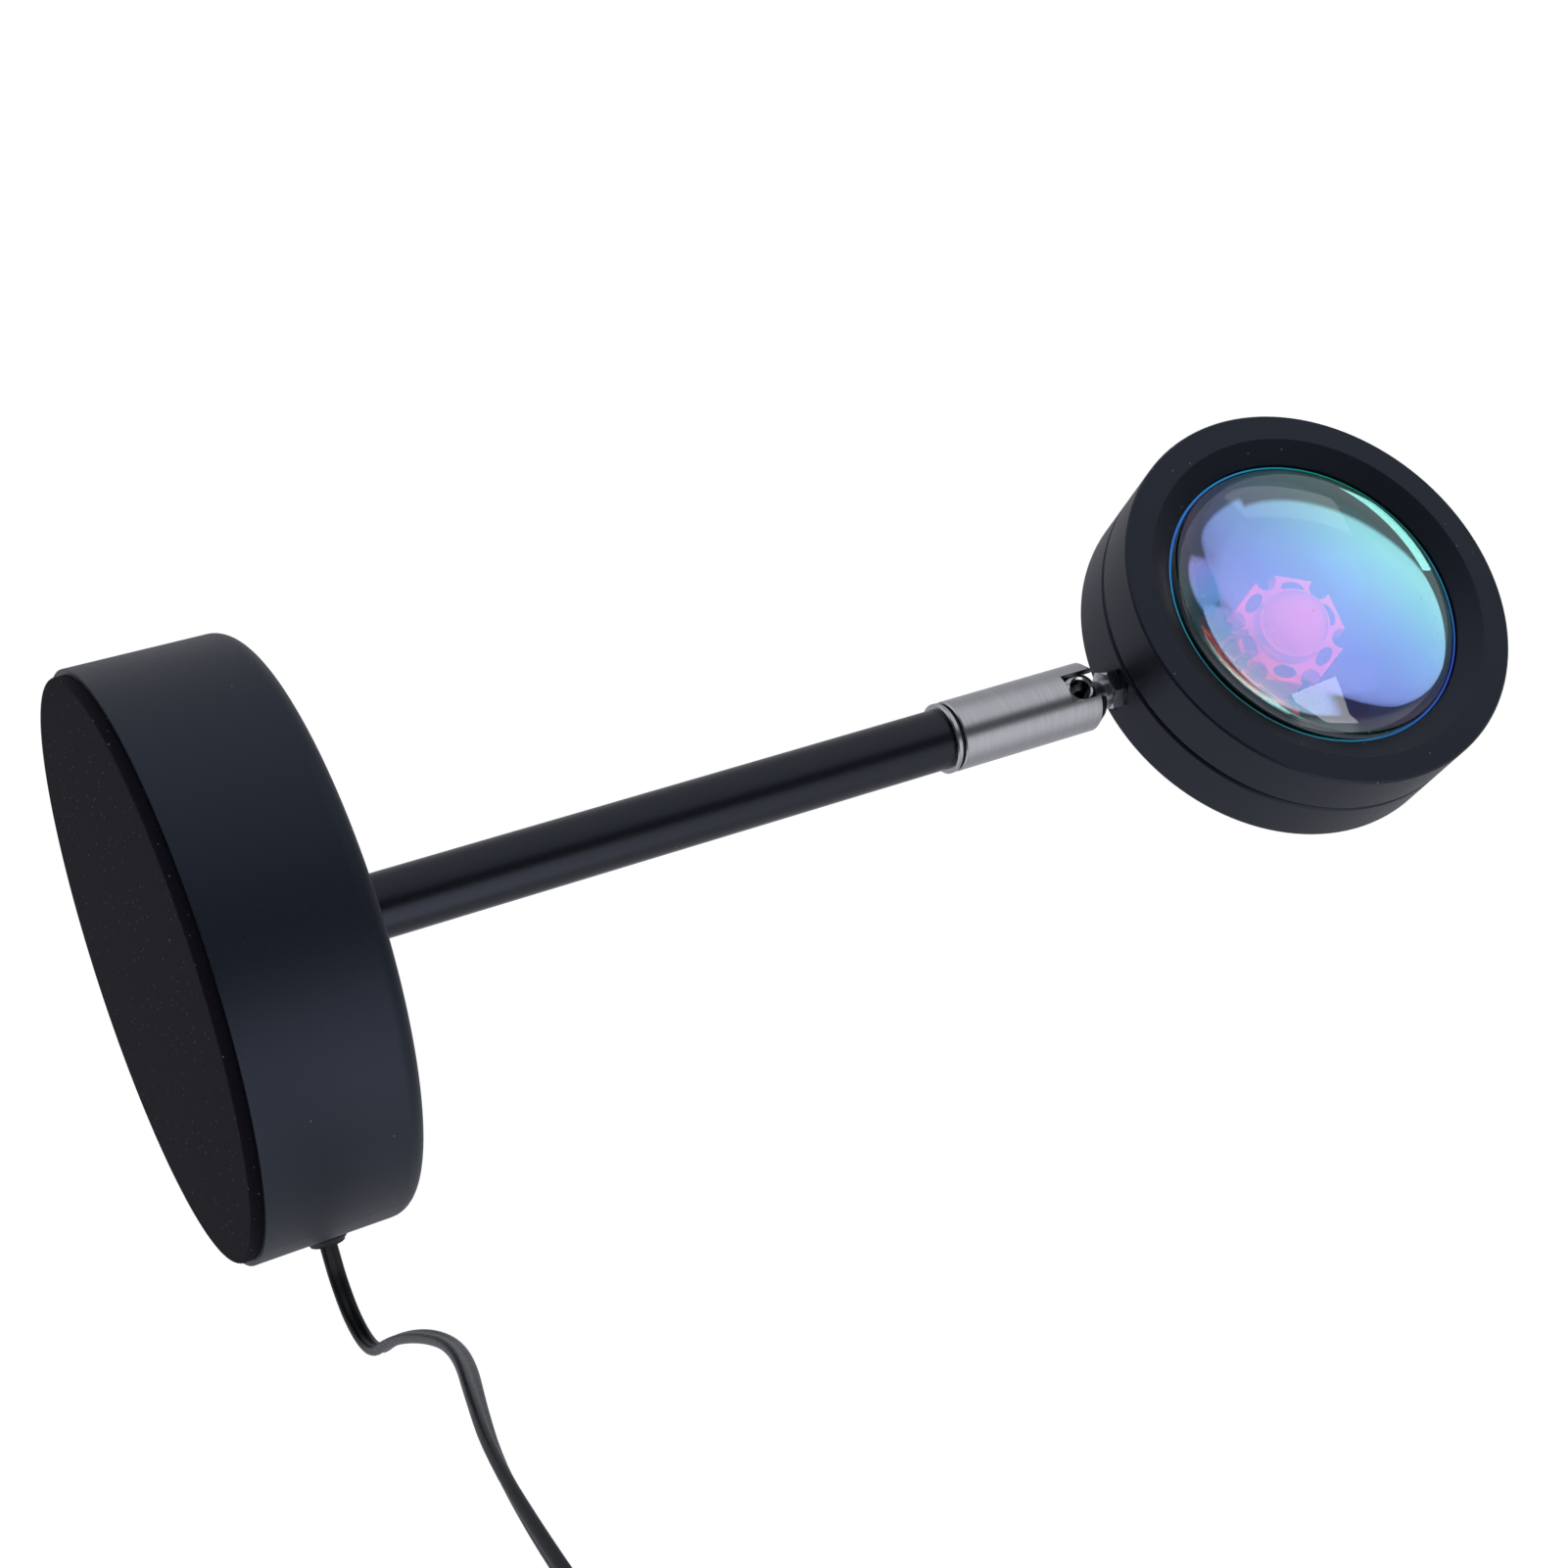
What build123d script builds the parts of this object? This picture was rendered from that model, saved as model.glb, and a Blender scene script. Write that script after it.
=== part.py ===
from build123d import *
import os
from math import asin, atan2, cos, degrees, pi, radians, sin, sqrt, tan

# Projection lamp on a round weighted base. Millimetres, +Z up the stem, origin under the middle of the base,
# lens looking along -Y.

# Fits
FIXED_GAP = 0.05        # round a piece that is screwed, glued or pressed into another
LOOSE_GAP = 0.3         # round a piece that only drops into place
RUNNING_GAP = 0.06      # round a shaft or ball that turns
FACE_GAP = 0.15         # between flat faces that turn past each other
WASHER_GAP = 0.2        # round a bolt or tube in a washer, nut or clearance hole

# Base
BASE_DIA = 105.0
BASE_HEIGHT = 30.0      # floor to the top face
SHELL_WALL = 1.2
SHELL_EDGE = 3.2        # rounding of the top edge
PAD_MARGIN = 1.0        # of the shell's edge round the pad
PAD_THICK = 2.0
PAD_EDGE = 0.6
PLATE_THICK = 1.2
WEIGHT_HEIGHT = 8.0
WEIGHT_HOLE_DIA = 36.0  # reach for a spanner on the stem's nut

# Cord, its exit and the lead inside
CORD_DIA = 3.2
EXIT_ANGLE = 30.0       # of the cord's hole, from +X towards +Y
EXIT_HEIGHT = 18.0
GROMMET_HOLE_DIA = 6.4
GROMMET_RIM_DIA = 8.6
GROMMET_INNER_RIM = 1.2
GROMMET_NOSE = 2.7      # from the shell's face to the nose's end
LEAD_BEND = 7.5         # radius where the lead turns up into the stem

# Stem and what clamps it
STEM_DIA = 12.0
STEM_BORE = 10.0
STEM_LENGTH = 130.0
NIPPLE_BORE = 7.0
NIPPLE_UP = 15.0        # into the stem
NIPPLE_DOWN = 8.5       # below the base's top face
STEM_WASHER_DIA = 24.0
STEM_WASHER_THICK = 1.5
STEM_NUT_FLATS = 14.0
STEM_NUT_THICK = 5.0
BUSH_LENGTH = 12.0      # threaded bush in the top of the stem

# Swivel
SLEEVE_DIA = 14.0
SLEEVE_LENGTH = 34.35
SLEEVE_END_TAPER = 2.2  # length of the cone at the sleeve's end
SLEEVE_END_LESS = 1.5   # that the cone takes off the radius
SLEEVE_FOOT_CHAMFER = 0.25
COLLAR_THICK = 1.2
SWIVEL_WASHER_DIA = 12.8
SWIVEL_WASHER_THICK = 0.5
POST_DIA = 8.0          # hollow threaded post that the sleeve turns on
POST_BORE = 5.0
POST_DOWN = 10.0        # into the stem's bush
SLEEVE_BUSH_LENGTH = 5.0
POST_NUT_DIA = 10.4
POST_NUT_THICK = 2.6
BALL_DIA = 11.0
BALL_FROM_END = 4.7     # ball's centre below the sleeve's end
MOUTH_DIA = 9.6
MOUTH_FLARE = 0.6
SLOT_WIDTH = 6.2
SLOT_BELOW_BALL = 4.2
SEAT_LENGTH = 7.2
SEAT_BORE = 6.4
SEAT_RISE = 2.0         # of the seat's cup up the ball
SPRING_RISE = 1.8
SPRING_THICK = 0.6
SEAT_RING_THICK = 3.0

# Ball, neck and its nuts
NECK_DIA = 4.6
NECK_BORE = 2.6
NECK_LENGTH = 10.8      # ball's centre to the flat seat on the head's wall
NECK_SEAT_DIA = 9.6
WIRE_HOLE_DIA = 4.3
WIRE_HOLE_SINK = 0.5
NECK_NUT_FLATS = 7.4
NECK_NUT_THICK = 3.2
INNER_NUT_FLATS = 6.2
INNER_NUT_THICK = 2.4
STUD_SPARE = 0.8        # of the stud past its inner nut

# Head: heights are counted from its rear face towards the lens
HEAD_DIA = 86.0
HEAD_THICK = 24.0
RING_DEPTH = 11.35
GROOVE = 0.5            # open line between rear cup and front ring
NECK_HEIGHT = 6.5
CUP_WALL = 3.0
CUP_FLOOR = 3.0
CUP_EDGE = 1.2
LIP_EDGE = 0.4
PEDESTAL_DIA = 24.0
PEDESTAL_HEIGHT = 5.7
SPIGOT_LENGTH = 2.6
FACE_WIDTH = 5.8        # flat of the front ring
BEVEL_WIDTH = 4.7
BEVEL_DEPTH = 2.4
LIP_THICK = 0.6
LENS_OVERLAP = 2.7      # of the lens behind the lip
LENS_RIM = 2.5
LENS_FLAT = 0.8         # of the lens's rim, seen round its dome
LENS_ROUND = 7.5        # radius of the rounded edge between rim and dome
LENS_ROUND_WIDTH = 3.7
LENS_DOME = 6.0         # rise of the dome inside the rounded edge
GASKET_THICK = 0.3
GASKET_WIDTH = 2.3
FILTER_GAP = 0.1        # air between lens and filter
FILTER_THICK = 1.1
RETAINER_THICK = 2.4
RETAINER_WIDTH = 9.0

# Light source
STAR_FLATS = 19.0       # across the board's six straight sides
STAR_THICK = 1.6
STAR_SIDES = 6
STAR_NOTCH_DIA = 3.6
STAR_NOTCH_OUT = 9.6    # from the board's middle to the notch in each corner
THERMAL_THICK = 0.3
LED_DIA = 12.8
LED_BODY_THICK = 1.4
LED_DOME = 2.9
LEAD_WIRE_DIA = 1.1
LEAD_WIRE_SPACING = 1.3
LEAD_WIRE_BEND = 3.0
LEAD_WIRE_INTO = 2.0    # into the neck's bore
LEAD_PAD_SPACING = 4.0
LEAD_PAD_OUT = 8.2      # from the board's middle to its solder pads

# Plug on the cord's far end
PLUG_WIDTH = 15.4
PLUG_THICK = 7.6
PLUG_LENGTH = 24.0
PLUG_CORNER = 2.2
PLUG_TAIL_DIA = 5.6
PLUG_TAIL_WALL = 0.4    # round the cord at the tail's thin end
PLUG_TAIL = 7.0
USB_WIDTH = 12.0
USB_THICK = 4.5
USB_LENGTH = 14.8
USB_WALL = 0.35
USB_WINDOW = 2.3        # square holes through both broad sides
USB_WINDOW_SPACING = 4.8
USB_WINDOW_UP = 8.0     # from the plug's body
TONGUE_THICK = 1.84
TONGUE_LENGTH = 13.2

# Cord laid on the floor
COIL_PITCH = 3.75
COIL_TURNS = 5          # in each of two layers, and half a turn more where the coil climbs and turns outwards
COIL_OUTER = 27.0       # radius of the outermost turn
COIL_LOW = 2.5          # height of the lower layer
COIL_STEPS = 4          # arcs' stations in a turn
PLUG_RUN = 16.0         # cord between coil and plug
PLUG_LIFT = 0.1         # of the plug off the floor
TIE_WIDTH = 5.0
TIE_THICK = 0.5
TIE_GAP = 0.35
TIE_ANGLE = 100.0       # from the coil's start, the way it winds
ROUTE_ARC_SHARE = 0.45
NEARLY_ZERO = 1e-6
# Points chosen by hand, from just outside the grommet to the coil
CORD_ROUTE = [
    (54.13, 31.25, EXIT_HEIGHT),
    (61.0, 32.4, 18.0),
    (67.2, 28.9, 18.0),
    (70.5, 22.0, 18.0),
    (71.8, 10.5, 18.0),
    (74.8, -5.0, 17.8),
    (79.5, -23.5, 17.2),
    (85.2, -42.5, 15.6),
    (91.8, -61.0, 12.2),
    (99.5, -78.5, 7.6),
    (109.5, -94.5, 3.4),
    (122.0, -107.5, 1.9),
    (135.5, -117.0, COIL_LOW),
    (148.5, -124.5, COIL_LOW),
]

# Sizes and heights that follow
PAD_DIA = BASE_DIA - 2 * PAD_MARGIN
SHELL_TOP = BASE_HEIGHT
SHELL_ROOF = BASE_HEIGHT - SHELL_WALL
SHELL_INNER = BASE_DIA / 2 - SHELL_WALL
PLATE_TOP = PAD_THICK + PLATE_THICK
NOSE_END = BASE_DIA / 2 + GROMMET_NOSE
STEM_TOP = SHELL_TOP + STEM_LENGTH
COLLAR_TOP = STEM_TOP + COLLAR_THICK
WASHER_TOP = COLLAR_TOP + SWIVEL_WASHER_THICK
SLEEVE_FOOT = WASHER_TOP + FACE_GAP
SLEEVE_TOP = SLEEVE_FOOT + SLEEVE_LENGTH
SLEEVE_BORE = BALL_DIA + 2 * RUNNING_GAP
SLEEVE_BUSH_TOP = SLEEVE_FOOT + SLEEVE_BUSH_LENGTH
POST_TOP = SLEEVE_BUSH_TOP + FACE_GAP + POST_NUT_THICK
BALL_Z = SLEEVE_TOP - BALL_FROM_END
SEAT_TOP = BALL_Z - BALL_DIA / 2 + SEAT_RISE
SEAT_FOOT = SEAT_TOP - SEAT_LENGTH
SPRING_FOOT = SEAT_FOOT - SPRING_RISE
NECK_SEAT_Z = BALL_Z + NECK_LENGTH
HEAD_Z = NECK_SEAT_Z + sqrt((HEAD_DIA / 2) ** 2 - (NECK_SEAT_DIA / 2) ** 2)
BEVEL_DIA = HEAD_DIA - 2 * FACE_WIDTH
OPENING_DIA = BEVEL_DIA - 2 * BEVEL_WIDTH
LENS_DIA = OPENING_DIA + 2 * LENS_OVERLAP
CUP_DEPTH = HEAD_THICK - RING_DEPTH - GROOVE
CUP_INNER = HEAD_DIA / 2 - CUP_WALL
INNER_NUT_FOOT = HEAD_Z - sqrt(CUP_INNER ** 2 - INNER_NUT_FLATS ** 2 / 3)
INNER_NUT_TOP = INNER_NUT_FOOT + INNER_NUT_THICK
STUD_TOP = INNER_NUT_TOP + STUD_SPARE
RING_FOOT = HEAD_THICK - RING_DEPTH
SPIGOT_FOOT = RING_FOOT - SPIGOT_LENGTH
LIP_BACK = HEAD_THICK - BEVEL_DEPTH - LIP_THICK
LENS_SHOULDER = LIP_BACK - GASKET_THICK
LENS_BACK = LENS_SHOULDER - LENS_RIM
FILTER_FRONT = LENS_BACK - FILTER_GAP
FILTER_BACK = FILTER_FRONT - FILTER_THICK
LENS_BORE = LENS_DIA + 2 * RUNNING_GAP
PEDESTAL_TOP = CUP_FLOOR + PEDESTAL_HEIGHT
STAR_FOOT = PEDESTAL_TOP + THERMAL_THICK
STAR_TOP = STAR_FOOT + STAR_THICK
LED_BODY_TOP = STAR_TOP + LED_BODY_THICK

# The head is modelled standing on its rear face, then laid with its lens towards -Y.
HEAD_FRAME = Plane(origin=(0, NECK_HEIGHT, HEAD_Z), x_dir=(1, 0, 0), z_dir=(0, -1, 0))
# The cord's hole looks outwards along this plane's normal.
EXIT_OUT = Vector(cos(radians(EXIT_ANGLE)), sin(radians(EXIT_ANGLE)), 0)
EXIT_FRAME = Plane(origin=(0, 0, EXIT_HEIGHT), x_dir=(0, 0, 1), z_dir=EXIT_OUT)


def turned(*outline):
    """Solid of revolution about Z from (radius, height) points or edges."""
    if isinstance(outline[0], tuple):
        return revolve(Plane.XZ * make_face(Polyline(*outline, close=True)), Axis.Z)
    return revolve(Plane.XZ * make_face(list(outline)), Axis.Z)


def rod(dia, low, high):
    """Plain cylinder on Z between two heights."""
    return Pos(0, 0, low) * Cylinder(dia / 2, high - low, align=(Align.CENTER, Align.CENTER, Align.MIN))


def tube(outer, inner, low, high):
    """Hollow cylinder on Z between two heights."""
    return rod(outer, low, high) - rod(inner, low, high)


def hex_nut(flats, bore, low, high):
    """Hexagon nut with its corners turned off at both ends."""
    corner = flats / sqrt(3)
    drop = (corner - flats / 2) * tan(radians(30))
    body = extrude(Plane.XY.offset(low) * RegularPolygon(corner, 6), high - low)
    half = flats / 2
    body &= turned((0, low), (half, low), (corner, low + drop), (corner, high - drop), (half, high), (0, high))
    return body - rod(bore, low, high)


def swept_tube(points, radii, dia):
    """Round tube along straight runs joined by tangent arcs."""
    path = FilletPolyline(*points, radius=radii)
    start = Plane(origin=path @ 0, z_dir=path % 0)
    return sweep(start * Circle(dia / 2), path=path), path


def base_pieces():
    """Soft pad, closing plate, weight and spun shell."""
    pad = rod(PAD_DIA, 0, PAD_THICK)
    pad = fillet(pad.edges().group_by(Axis.Z)[0], PAD_EDGE)
    plate = rod(2 * (SHELL_INNER - LOOSE_GAP), PAD_THICK, PLATE_TOP)
    shell = fillet(rod(BASE_DIA, PAD_THICK, SHELL_TOP).edges().group_by(Axis.Z)[-1], SHELL_EDGE)
    hollow = rod(2 * SHELL_INNER, PAD_THICK, SHELL_ROOF)
    shell -= fillet(hollow.edges().group_by(Axis.Z)[-1], SHELL_EDGE - SHELL_WALL)
    shell -= rod(STEM_BORE + 2 * WASHER_GAP, SHELL_ROOF, SHELL_TOP)
    shell -= EXIT_FRAME * rod(GROMMET_HOLE_DIA, 0, BASE_DIA)
    weight = tube(2 * (SHELL_INNER - LOOSE_GAP), WEIGHT_HOLE_DIA, PLATE_TOP, PLATE_TOP + WEIGHT_HEIGHT)
    return {"base_pad": pad, "base_plate": plate, "base_weight": weight, "base_shell": shell}


def cord_exit():
    """Grommet in the shell's side and the lead from it up the stem."""
    barrel = rod(GROMMET_HOLE_DIA - 2 * FIXED_GAP, SHELL_INNER - GROMMET_INNER_RIM, NOSE_END)
    outside = rod(GROMMET_RIM_DIA, SHELL_INNER, NOSE_END)
    outside = chamfer(outside.edges().group_by(Axis.Z)[-1], GROMMET_NOSE / 2, (GROMMET_RIM_DIA - CORD_DIA) / 4)
    inside = rod(GROMMET_RIM_DIA, SHELL_INNER - GROMMET_INNER_RIM, SHELL_INNER + SHELL_WALL / 2)
    walls = tube(BASE_DIA + 2 * FIXED_GAP, 2 * (SHELL_INNER - FIXED_GAP), 0, BASE_HEIGHT)
    rims = EXIT_FRAME * (outside + inside) - walls
    grommet = EXIT_FRAME * barrel + rims
    grommet -= EXIT_FRAME * rod(CORD_DIA + 2 * FIXED_GAP, 0, BASE_DIA)
    points = [EXIT_OUT * NOSE_END, Vector(0, 0, 0), Vector(0, 0, POST_TOP - EXIT_HEIGHT)]
    lead, path = swept_tube([Vector(0, 0, EXIT_HEIGHT) + point for point in points], LEAD_BEND, CORD_DIA)
    return {"cord_grommet": grommet, "stem_lead": lead}


def stem_pieces():
    """Stem tube with the nipple, washer and nut that clamp it to the base."""
    thread = STEM_BORE - 2 * FIXED_GAP
    washer_foot = SHELL_ROOF - STEM_WASHER_THICK
    nut_foot = washer_foot - STEM_NUT_THICK
    return {
        "stem_nipple": tube(thread, NIPPLE_BORE, SHELL_TOP - NIPPLE_DOWN, SHELL_TOP + NIPPLE_UP),
        "stem_washer": tube(STEM_WASHER_DIA, thread + 2 * WASHER_GAP, washer_foot, SHELL_ROOF),
        "stem_nut": hex_nut(STEM_NUT_FLATS, thread + 2 * FIXED_GAP, nut_foot, washer_foot),
        "stem_tube": tube(STEM_DIA, STEM_BORE, SHELL_TOP, STEM_TOP),
        "stem_bush": tube(thread, POST_DIA + 2 * FIXED_GAP, STEM_TOP - BUSH_LENGTH, STEM_TOP),
    }


def swivel_pieces():
    """Collar and post on the stem, and the slotted sleeve that turns on them and holds the ball."""
    post_hole = POST_DIA + 2 * FIXED_GAP
    collar = chamfer(rod(SLEEVE_DIA, STEM_TOP, COLLAR_TOP).edges(), SLEEVE_FOOT_CHAMFER)
    collar -= rod(post_hole, STEM_TOP, COLLAR_TOP)
    radius = SLEEVE_DIA / 2
    body = turned(
        (0, SLEEVE_FOOT),
        (radius - SLEEVE_FOOT_CHAMFER, SLEEVE_FOOT),
        (radius, SLEEVE_FOOT + SLEEVE_FOOT_CHAMFER),
        (radius, SLEEVE_TOP - SLEEVE_END_TAPER),
        (radius - SLEEVE_END_LESS, SLEEVE_TOP),
        (0, SLEEVE_TOP),
    )
    socket = Pos(0, 0, BALL_Z) * Sphere(SLEEVE_BORE / 2)
    flare_foot = SLEEVE_TOP - MOUTH_FLARE
    mouth = MOUTH_DIA / 2
    wide = mouth + MOUTH_FLARE / 2
    flare = turned((0, BALL_Z), (mouth, BALL_Z), (mouth, flare_foot), (wide, SLEEVE_TOP), (0, SLEEVE_TOP))
    slot_foot = BALL_Z - SLOT_BELOW_BALL
    slot = Pos(0, 0, slot_foot) * Box(
        SLOT_WIDTH, SLEEVE_DIA, SLEEVE_TOP - slot_foot, align=(Align.CENTER, Align.MAX, Align.MIN)
    )
    sleeve = body - rod(SLEEVE_BORE, SLEEVE_FOOT, BALL_Z) - socket - flare - slot
    fitted = SLEEVE_BORE - 2 * FIXED_GAP
    seat = tube(fitted, SEAT_BORE, SEAT_FOOT, SEAT_TOP) - Pos(0, 0, BALL_Z) * Sphere(SLEEVE_BORE / 2)
    inner = SEAT_BORE / 2
    outer = fitted / 2
    spring = turned(
        (inner, SEAT_FOOT - SPRING_THICK),
        (inner, SEAT_FOOT),
        (outer, SPRING_FOOT + SPRING_THICK),
        (outer, SPRING_FOOT),
    )
    return {
        "swivel_collar": collar,
        "swivel_washer": tube(SWIVEL_WASHER_DIA, post_hole, COLLAR_TOP, WASHER_TOP),
        "swivel_post": tube(POST_DIA, POST_BORE, STEM_TOP - POST_DOWN, POST_TOP),
        "post_nut": tube(POST_NUT_DIA, post_hole, POST_TOP - POST_NUT_THICK, POST_TOP),
        "swivel_sleeve": sleeve,
        "sleeve_bush": tube(fitted, POST_DIA + 2 * RUNNING_GAP, SLEEVE_FOOT, SLEEVE_BUSH_TOP),
        "ball_seat": seat,
        "seat_spring": spring,
        "seat_ring": tube(fitted, SEAT_BORE, SPRING_FOOT - SEAT_RING_THICK, SPRING_FOOT),
    }


def ball_pieces():
    """Hollow swivel ball with its neck, and the nuts that hold the neck to the head."""
    ball = Pos(0, 0, BALL_Z) * Sphere(BALL_DIA / 2) + rod(NECK_DIA, BALL_Z, STUD_TOP)
    ball -= rod(NECK_BORE, BALL_Z, STUD_TOP)
    hole = rod(WIRE_HOLE_DIA, 0, BALL_DIA)
    narrow = WIRE_HOLE_DIA / 2
    wide = narrow + 2 * WIRE_HOLE_SINK
    top = BALL_DIA / 2
    foot = sqrt(top ** 2 - narrow ** 2) - WIRE_HOLE_SINK
    sink = turned((0, foot), (narrow, foot), (wide, top), (0, top))
    for way in (-Vector(0, 0, 1), -Vector(0, 1, 0)):
        ball -= Plane(origin=(0, 0, BALL_Z), z_dir=way) * (hole + sink)
    thread = NECK_DIA + 2 * FIXED_GAP
    return {
        "swivel_ball": ball,
        "neck_nut": hex_nut(NECK_NUT_FLATS, thread, NECK_SEAT_Z - NECK_NUT_THICK, NECK_SEAT_Z),
        "neck_inner_nut": hex_nut(INNER_NUT_FLATS, thread, INNER_NUT_FOOT, INNER_NUT_TOP),
    }


def head_shells():
    """Rear cup with its pedestal, and the bevelled front ring screwed into it."""
    rim = HEAD_DIA / 2
    cup = rod(HEAD_DIA, 0, CUP_DEPTH)
    cup = fillet(cup.edges().group_by(Axis.Z)[0], CUP_EDGE)
    cup = chamfer(cup.edges().group_by(Axis.Z)[-1], LIP_EDGE)
    cup -= rod(2 * CUP_INNER, CUP_FLOOR, CUP_DEPTH)
    cup += rod(PEDESTAL_DIA, CUP_FLOOR, PEDESTAL_TOP)
    neck_way = Plane(origin=(0, 0, NECK_HEIGHT), x_dir=(1, 0, 0), z_dir=(0, -1, 0))
    cup -= neck_way * rod(NECK_DIA + 2 * WASHER_GAP, CUP_INNER - CUP_WALL, HEAD_DIA)
    cup -= neck_way * rod(NECK_SEAT_DIA, HEAD_Z - NECK_SEAT_Z, HEAD_DIA)
    ring = turned(
        (CUP_INNER - FIXED_GAP, SPIGOT_FOOT),
        (CUP_INNER - FIXED_GAP, RING_FOOT),
        (rim - LIP_EDGE, RING_FOOT),
        (rim, RING_FOOT + LIP_EDGE),
        (rim, HEAD_THICK - LIP_EDGE),
        (rim - LIP_EDGE, HEAD_THICK),
        (BEVEL_DIA / 2, HEAD_THICK),
        (OPENING_DIA / 2, HEAD_THICK - BEVEL_DEPTH),
        (OPENING_DIA / 2, LIP_BACK),
        (LENS_BORE / 2, LIP_BACK),
        (LENS_BORE / 2, SPIGOT_FOOT),
    )
    return {"head_rear_cup": cup, "head_front_ring": ring}


def lens_pieces():
    """Plano-convex lens with its gasket, colour filter and retaining ring."""
    foot = OPENING_DIA / 2 - LENS_FLAT
    dome_edge = foot - LENS_ROUND_WIDTH
    bulge = (dome_edge ** 2 + LENS_DOME ** 2) / (2 * LENS_DOME)
    dome_slope = asin(dome_edge / bulge)
    round_out = dome_edge - LENS_ROUND * sin(dome_slope)
    foot_slope = asin((foot - round_out) / LENS_ROUND)
    round_up = LENS_SHOULDER - LENS_ROUND * cos(foot_slope)
    apex = round_up + LENS_ROUND * cos(dome_slope) + LENS_DOME
    on_round = [
        (round_out + LENS_ROUND * sin(slope), round_up + LENS_ROUND * cos(slope))
        for slope in (foot_slope, (foot_slope + dome_slope) / 2, dome_slope)
    ]
    on_dome = (bulge * sin(dome_slope / 2), apex - bulge * (1 - cos(dome_slope / 2)))
    rim = LENS_DIA / 2
    lens = turned(
        Polyline((0, apex), (0, LENS_BACK), (rim, LENS_BACK), (rim, LENS_SHOULDER), on_round[0]),
        ThreePointArc(*on_round),
        ThreePointArc(on_round[-1], on_dome, (0, apex)),
    )
    retainer_hole = LENS_DIA - 2 * RETAINER_WIDTH
    return {
        "lens": lens,
        "lens_gasket": tube(LENS_DIA, LENS_DIA - 2 * GASKET_WIDTH, LENS_SHOULDER, LIP_BACK),
        "colour_filter": rod(LENS_DIA, FILTER_BACK, FILTER_FRONT),
        "lens_retainer": tube(LENS_DIA, retainer_hole, FILTER_BACK - RETAINER_THICK, FILTER_BACK),
    }


def light_source():
    """Notched metal-core board on the cup's pedestal, its emitter and its two leads."""
    outline = RegularPolygon(STAR_FLATS / 2, STAR_SIDES, major_radius=False)
    board = Pos(0, 0, STAR_FOOT) * extrude(outline, STAR_THICK)
    for notch in PolarLocations(STAR_NOTCH_OUT, STAR_SIDES):
        board -= notch * rod(STAR_NOTCH_DIA, STAR_FOOT, STAR_TOP)
    dome_dia = LED_DIA - 2 * LOOSE_GAP
    bulge = ((dome_dia / 2) ** 2 + LED_DOME ** 2) / (2 * LED_DOME)
    dome_top = LED_BODY_TOP + LED_DOME
    dome = Pos(0, 0, dome_top - bulge) * Sphere(bulge) & rod(LED_DIA, LED_BODY_TOP, dome_top)
    wires = []
    wire_top = STAR_TOP + LEAD_WIRE_DIA / 2
    bore_mouth = HEAD_Z - STUD_TOP
    for side in (-1, 1):
        stops = [
            (side * LEAD_PAD_SPACING / 2, -LEAD_PAD_OUT, wire_top),
            (side * LEAD_PAD_SPACING / 2, -PEDESTAL_DIA / 2, wire_top),
            (side * LEAD_WIRE_SPACING / 2, -bore_mouth + CUP_WALL, NECK_HEIGHT),
            (side * LEAD_WIRE_SPACING / 2, -bore_mouth - LEAD_WIRE_INTO, NECK_HEIGHT),
        ]
        wire, path = swept_tube([Vector(*stop) for stop in stops], LEAD_WIRE_BEND, LEAD_WIRE_DIA)
        wires.append(wire)
    return {
        "thermal_pad": rod(2 * STAR_NOTCH_OUT - STAR_NOTCH_DIA, PEDESTAL_TOP, STAR_FOOT),
        "led_board": board,
        "led_body": rod(LED_DIA, STAR_TOP, LED_BODY_TOP),
        "led_dome": dome,
        "led_leads": Compound(wires),
    }


def route_radii(points):
    """Largest arc that each corner's two runs leave room for."""
    radii = []
    for before, corner, after in zip(points, points[1:], points[2:]):
        run_in = corner - before
        run_out = after - corner
        turn = radians(run_in.get_angle(run_out))
        radii.append(ROUTE_ARC_SHARE * min(run_in.length, run_out.length) / tan(turn / 2))
    return radii


def biarc(start, start_way, end, end_way):
    """Two arcs from start to end that leave and arrive along the given unit vectors."""
    across = end - start
    along = across.dot(start_way + end_way)
    bend = 2 * (1 - start_way.dot(end_way))
    if bend < NEARLY_ZERO:
        reach = across.dot(across) / (2 * along)
    else:
        reach = (sqrt(along ** 2 + bend * across.dot(across)) - along) / bend
    first = start + start_way * reach
    last = end - end_way * reach
    middle = (first + last) * 0.5
    return [TangentArc(start, middle, tangent=start_way), TangentArc(middle, end, tangent=last - first)]


def coil_station(turns):
    """Place and heading on the coil after some turns: in below, up half a turn, out above."""
    reverse = COIL_TURNS + 0.25
    climb = min(max((turns - COIL_TURNS) / 0.5, 0.0), 1.0)
    radius = COIL_OUTER - COIL_PITCH * (reverse - abs(turns - reverse))
    rate = 0.0 if turns == reverse else COIL_PITCH * (turns - reverse) / abs(turns - reverse)
    height = COIL_LOW + COIL_PITCH * climb * climb * (3 - 2 * climb)
    rise = COIL_PITCH * 6 * climb * (1 - climb) / 0.5
    angle = 2 * pi * turns
    place = Vector(radius * cos(angle), radius * sin(angle), height)
    sweep_rate = 2 * pi * radius
    heading = Vector(
        rate * cos(angle) - sweep_rate * sin(angle), rate * sin(angle) + sweep_rate * cos(angle), rise
    )
    return place, heading.normalized()


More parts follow.
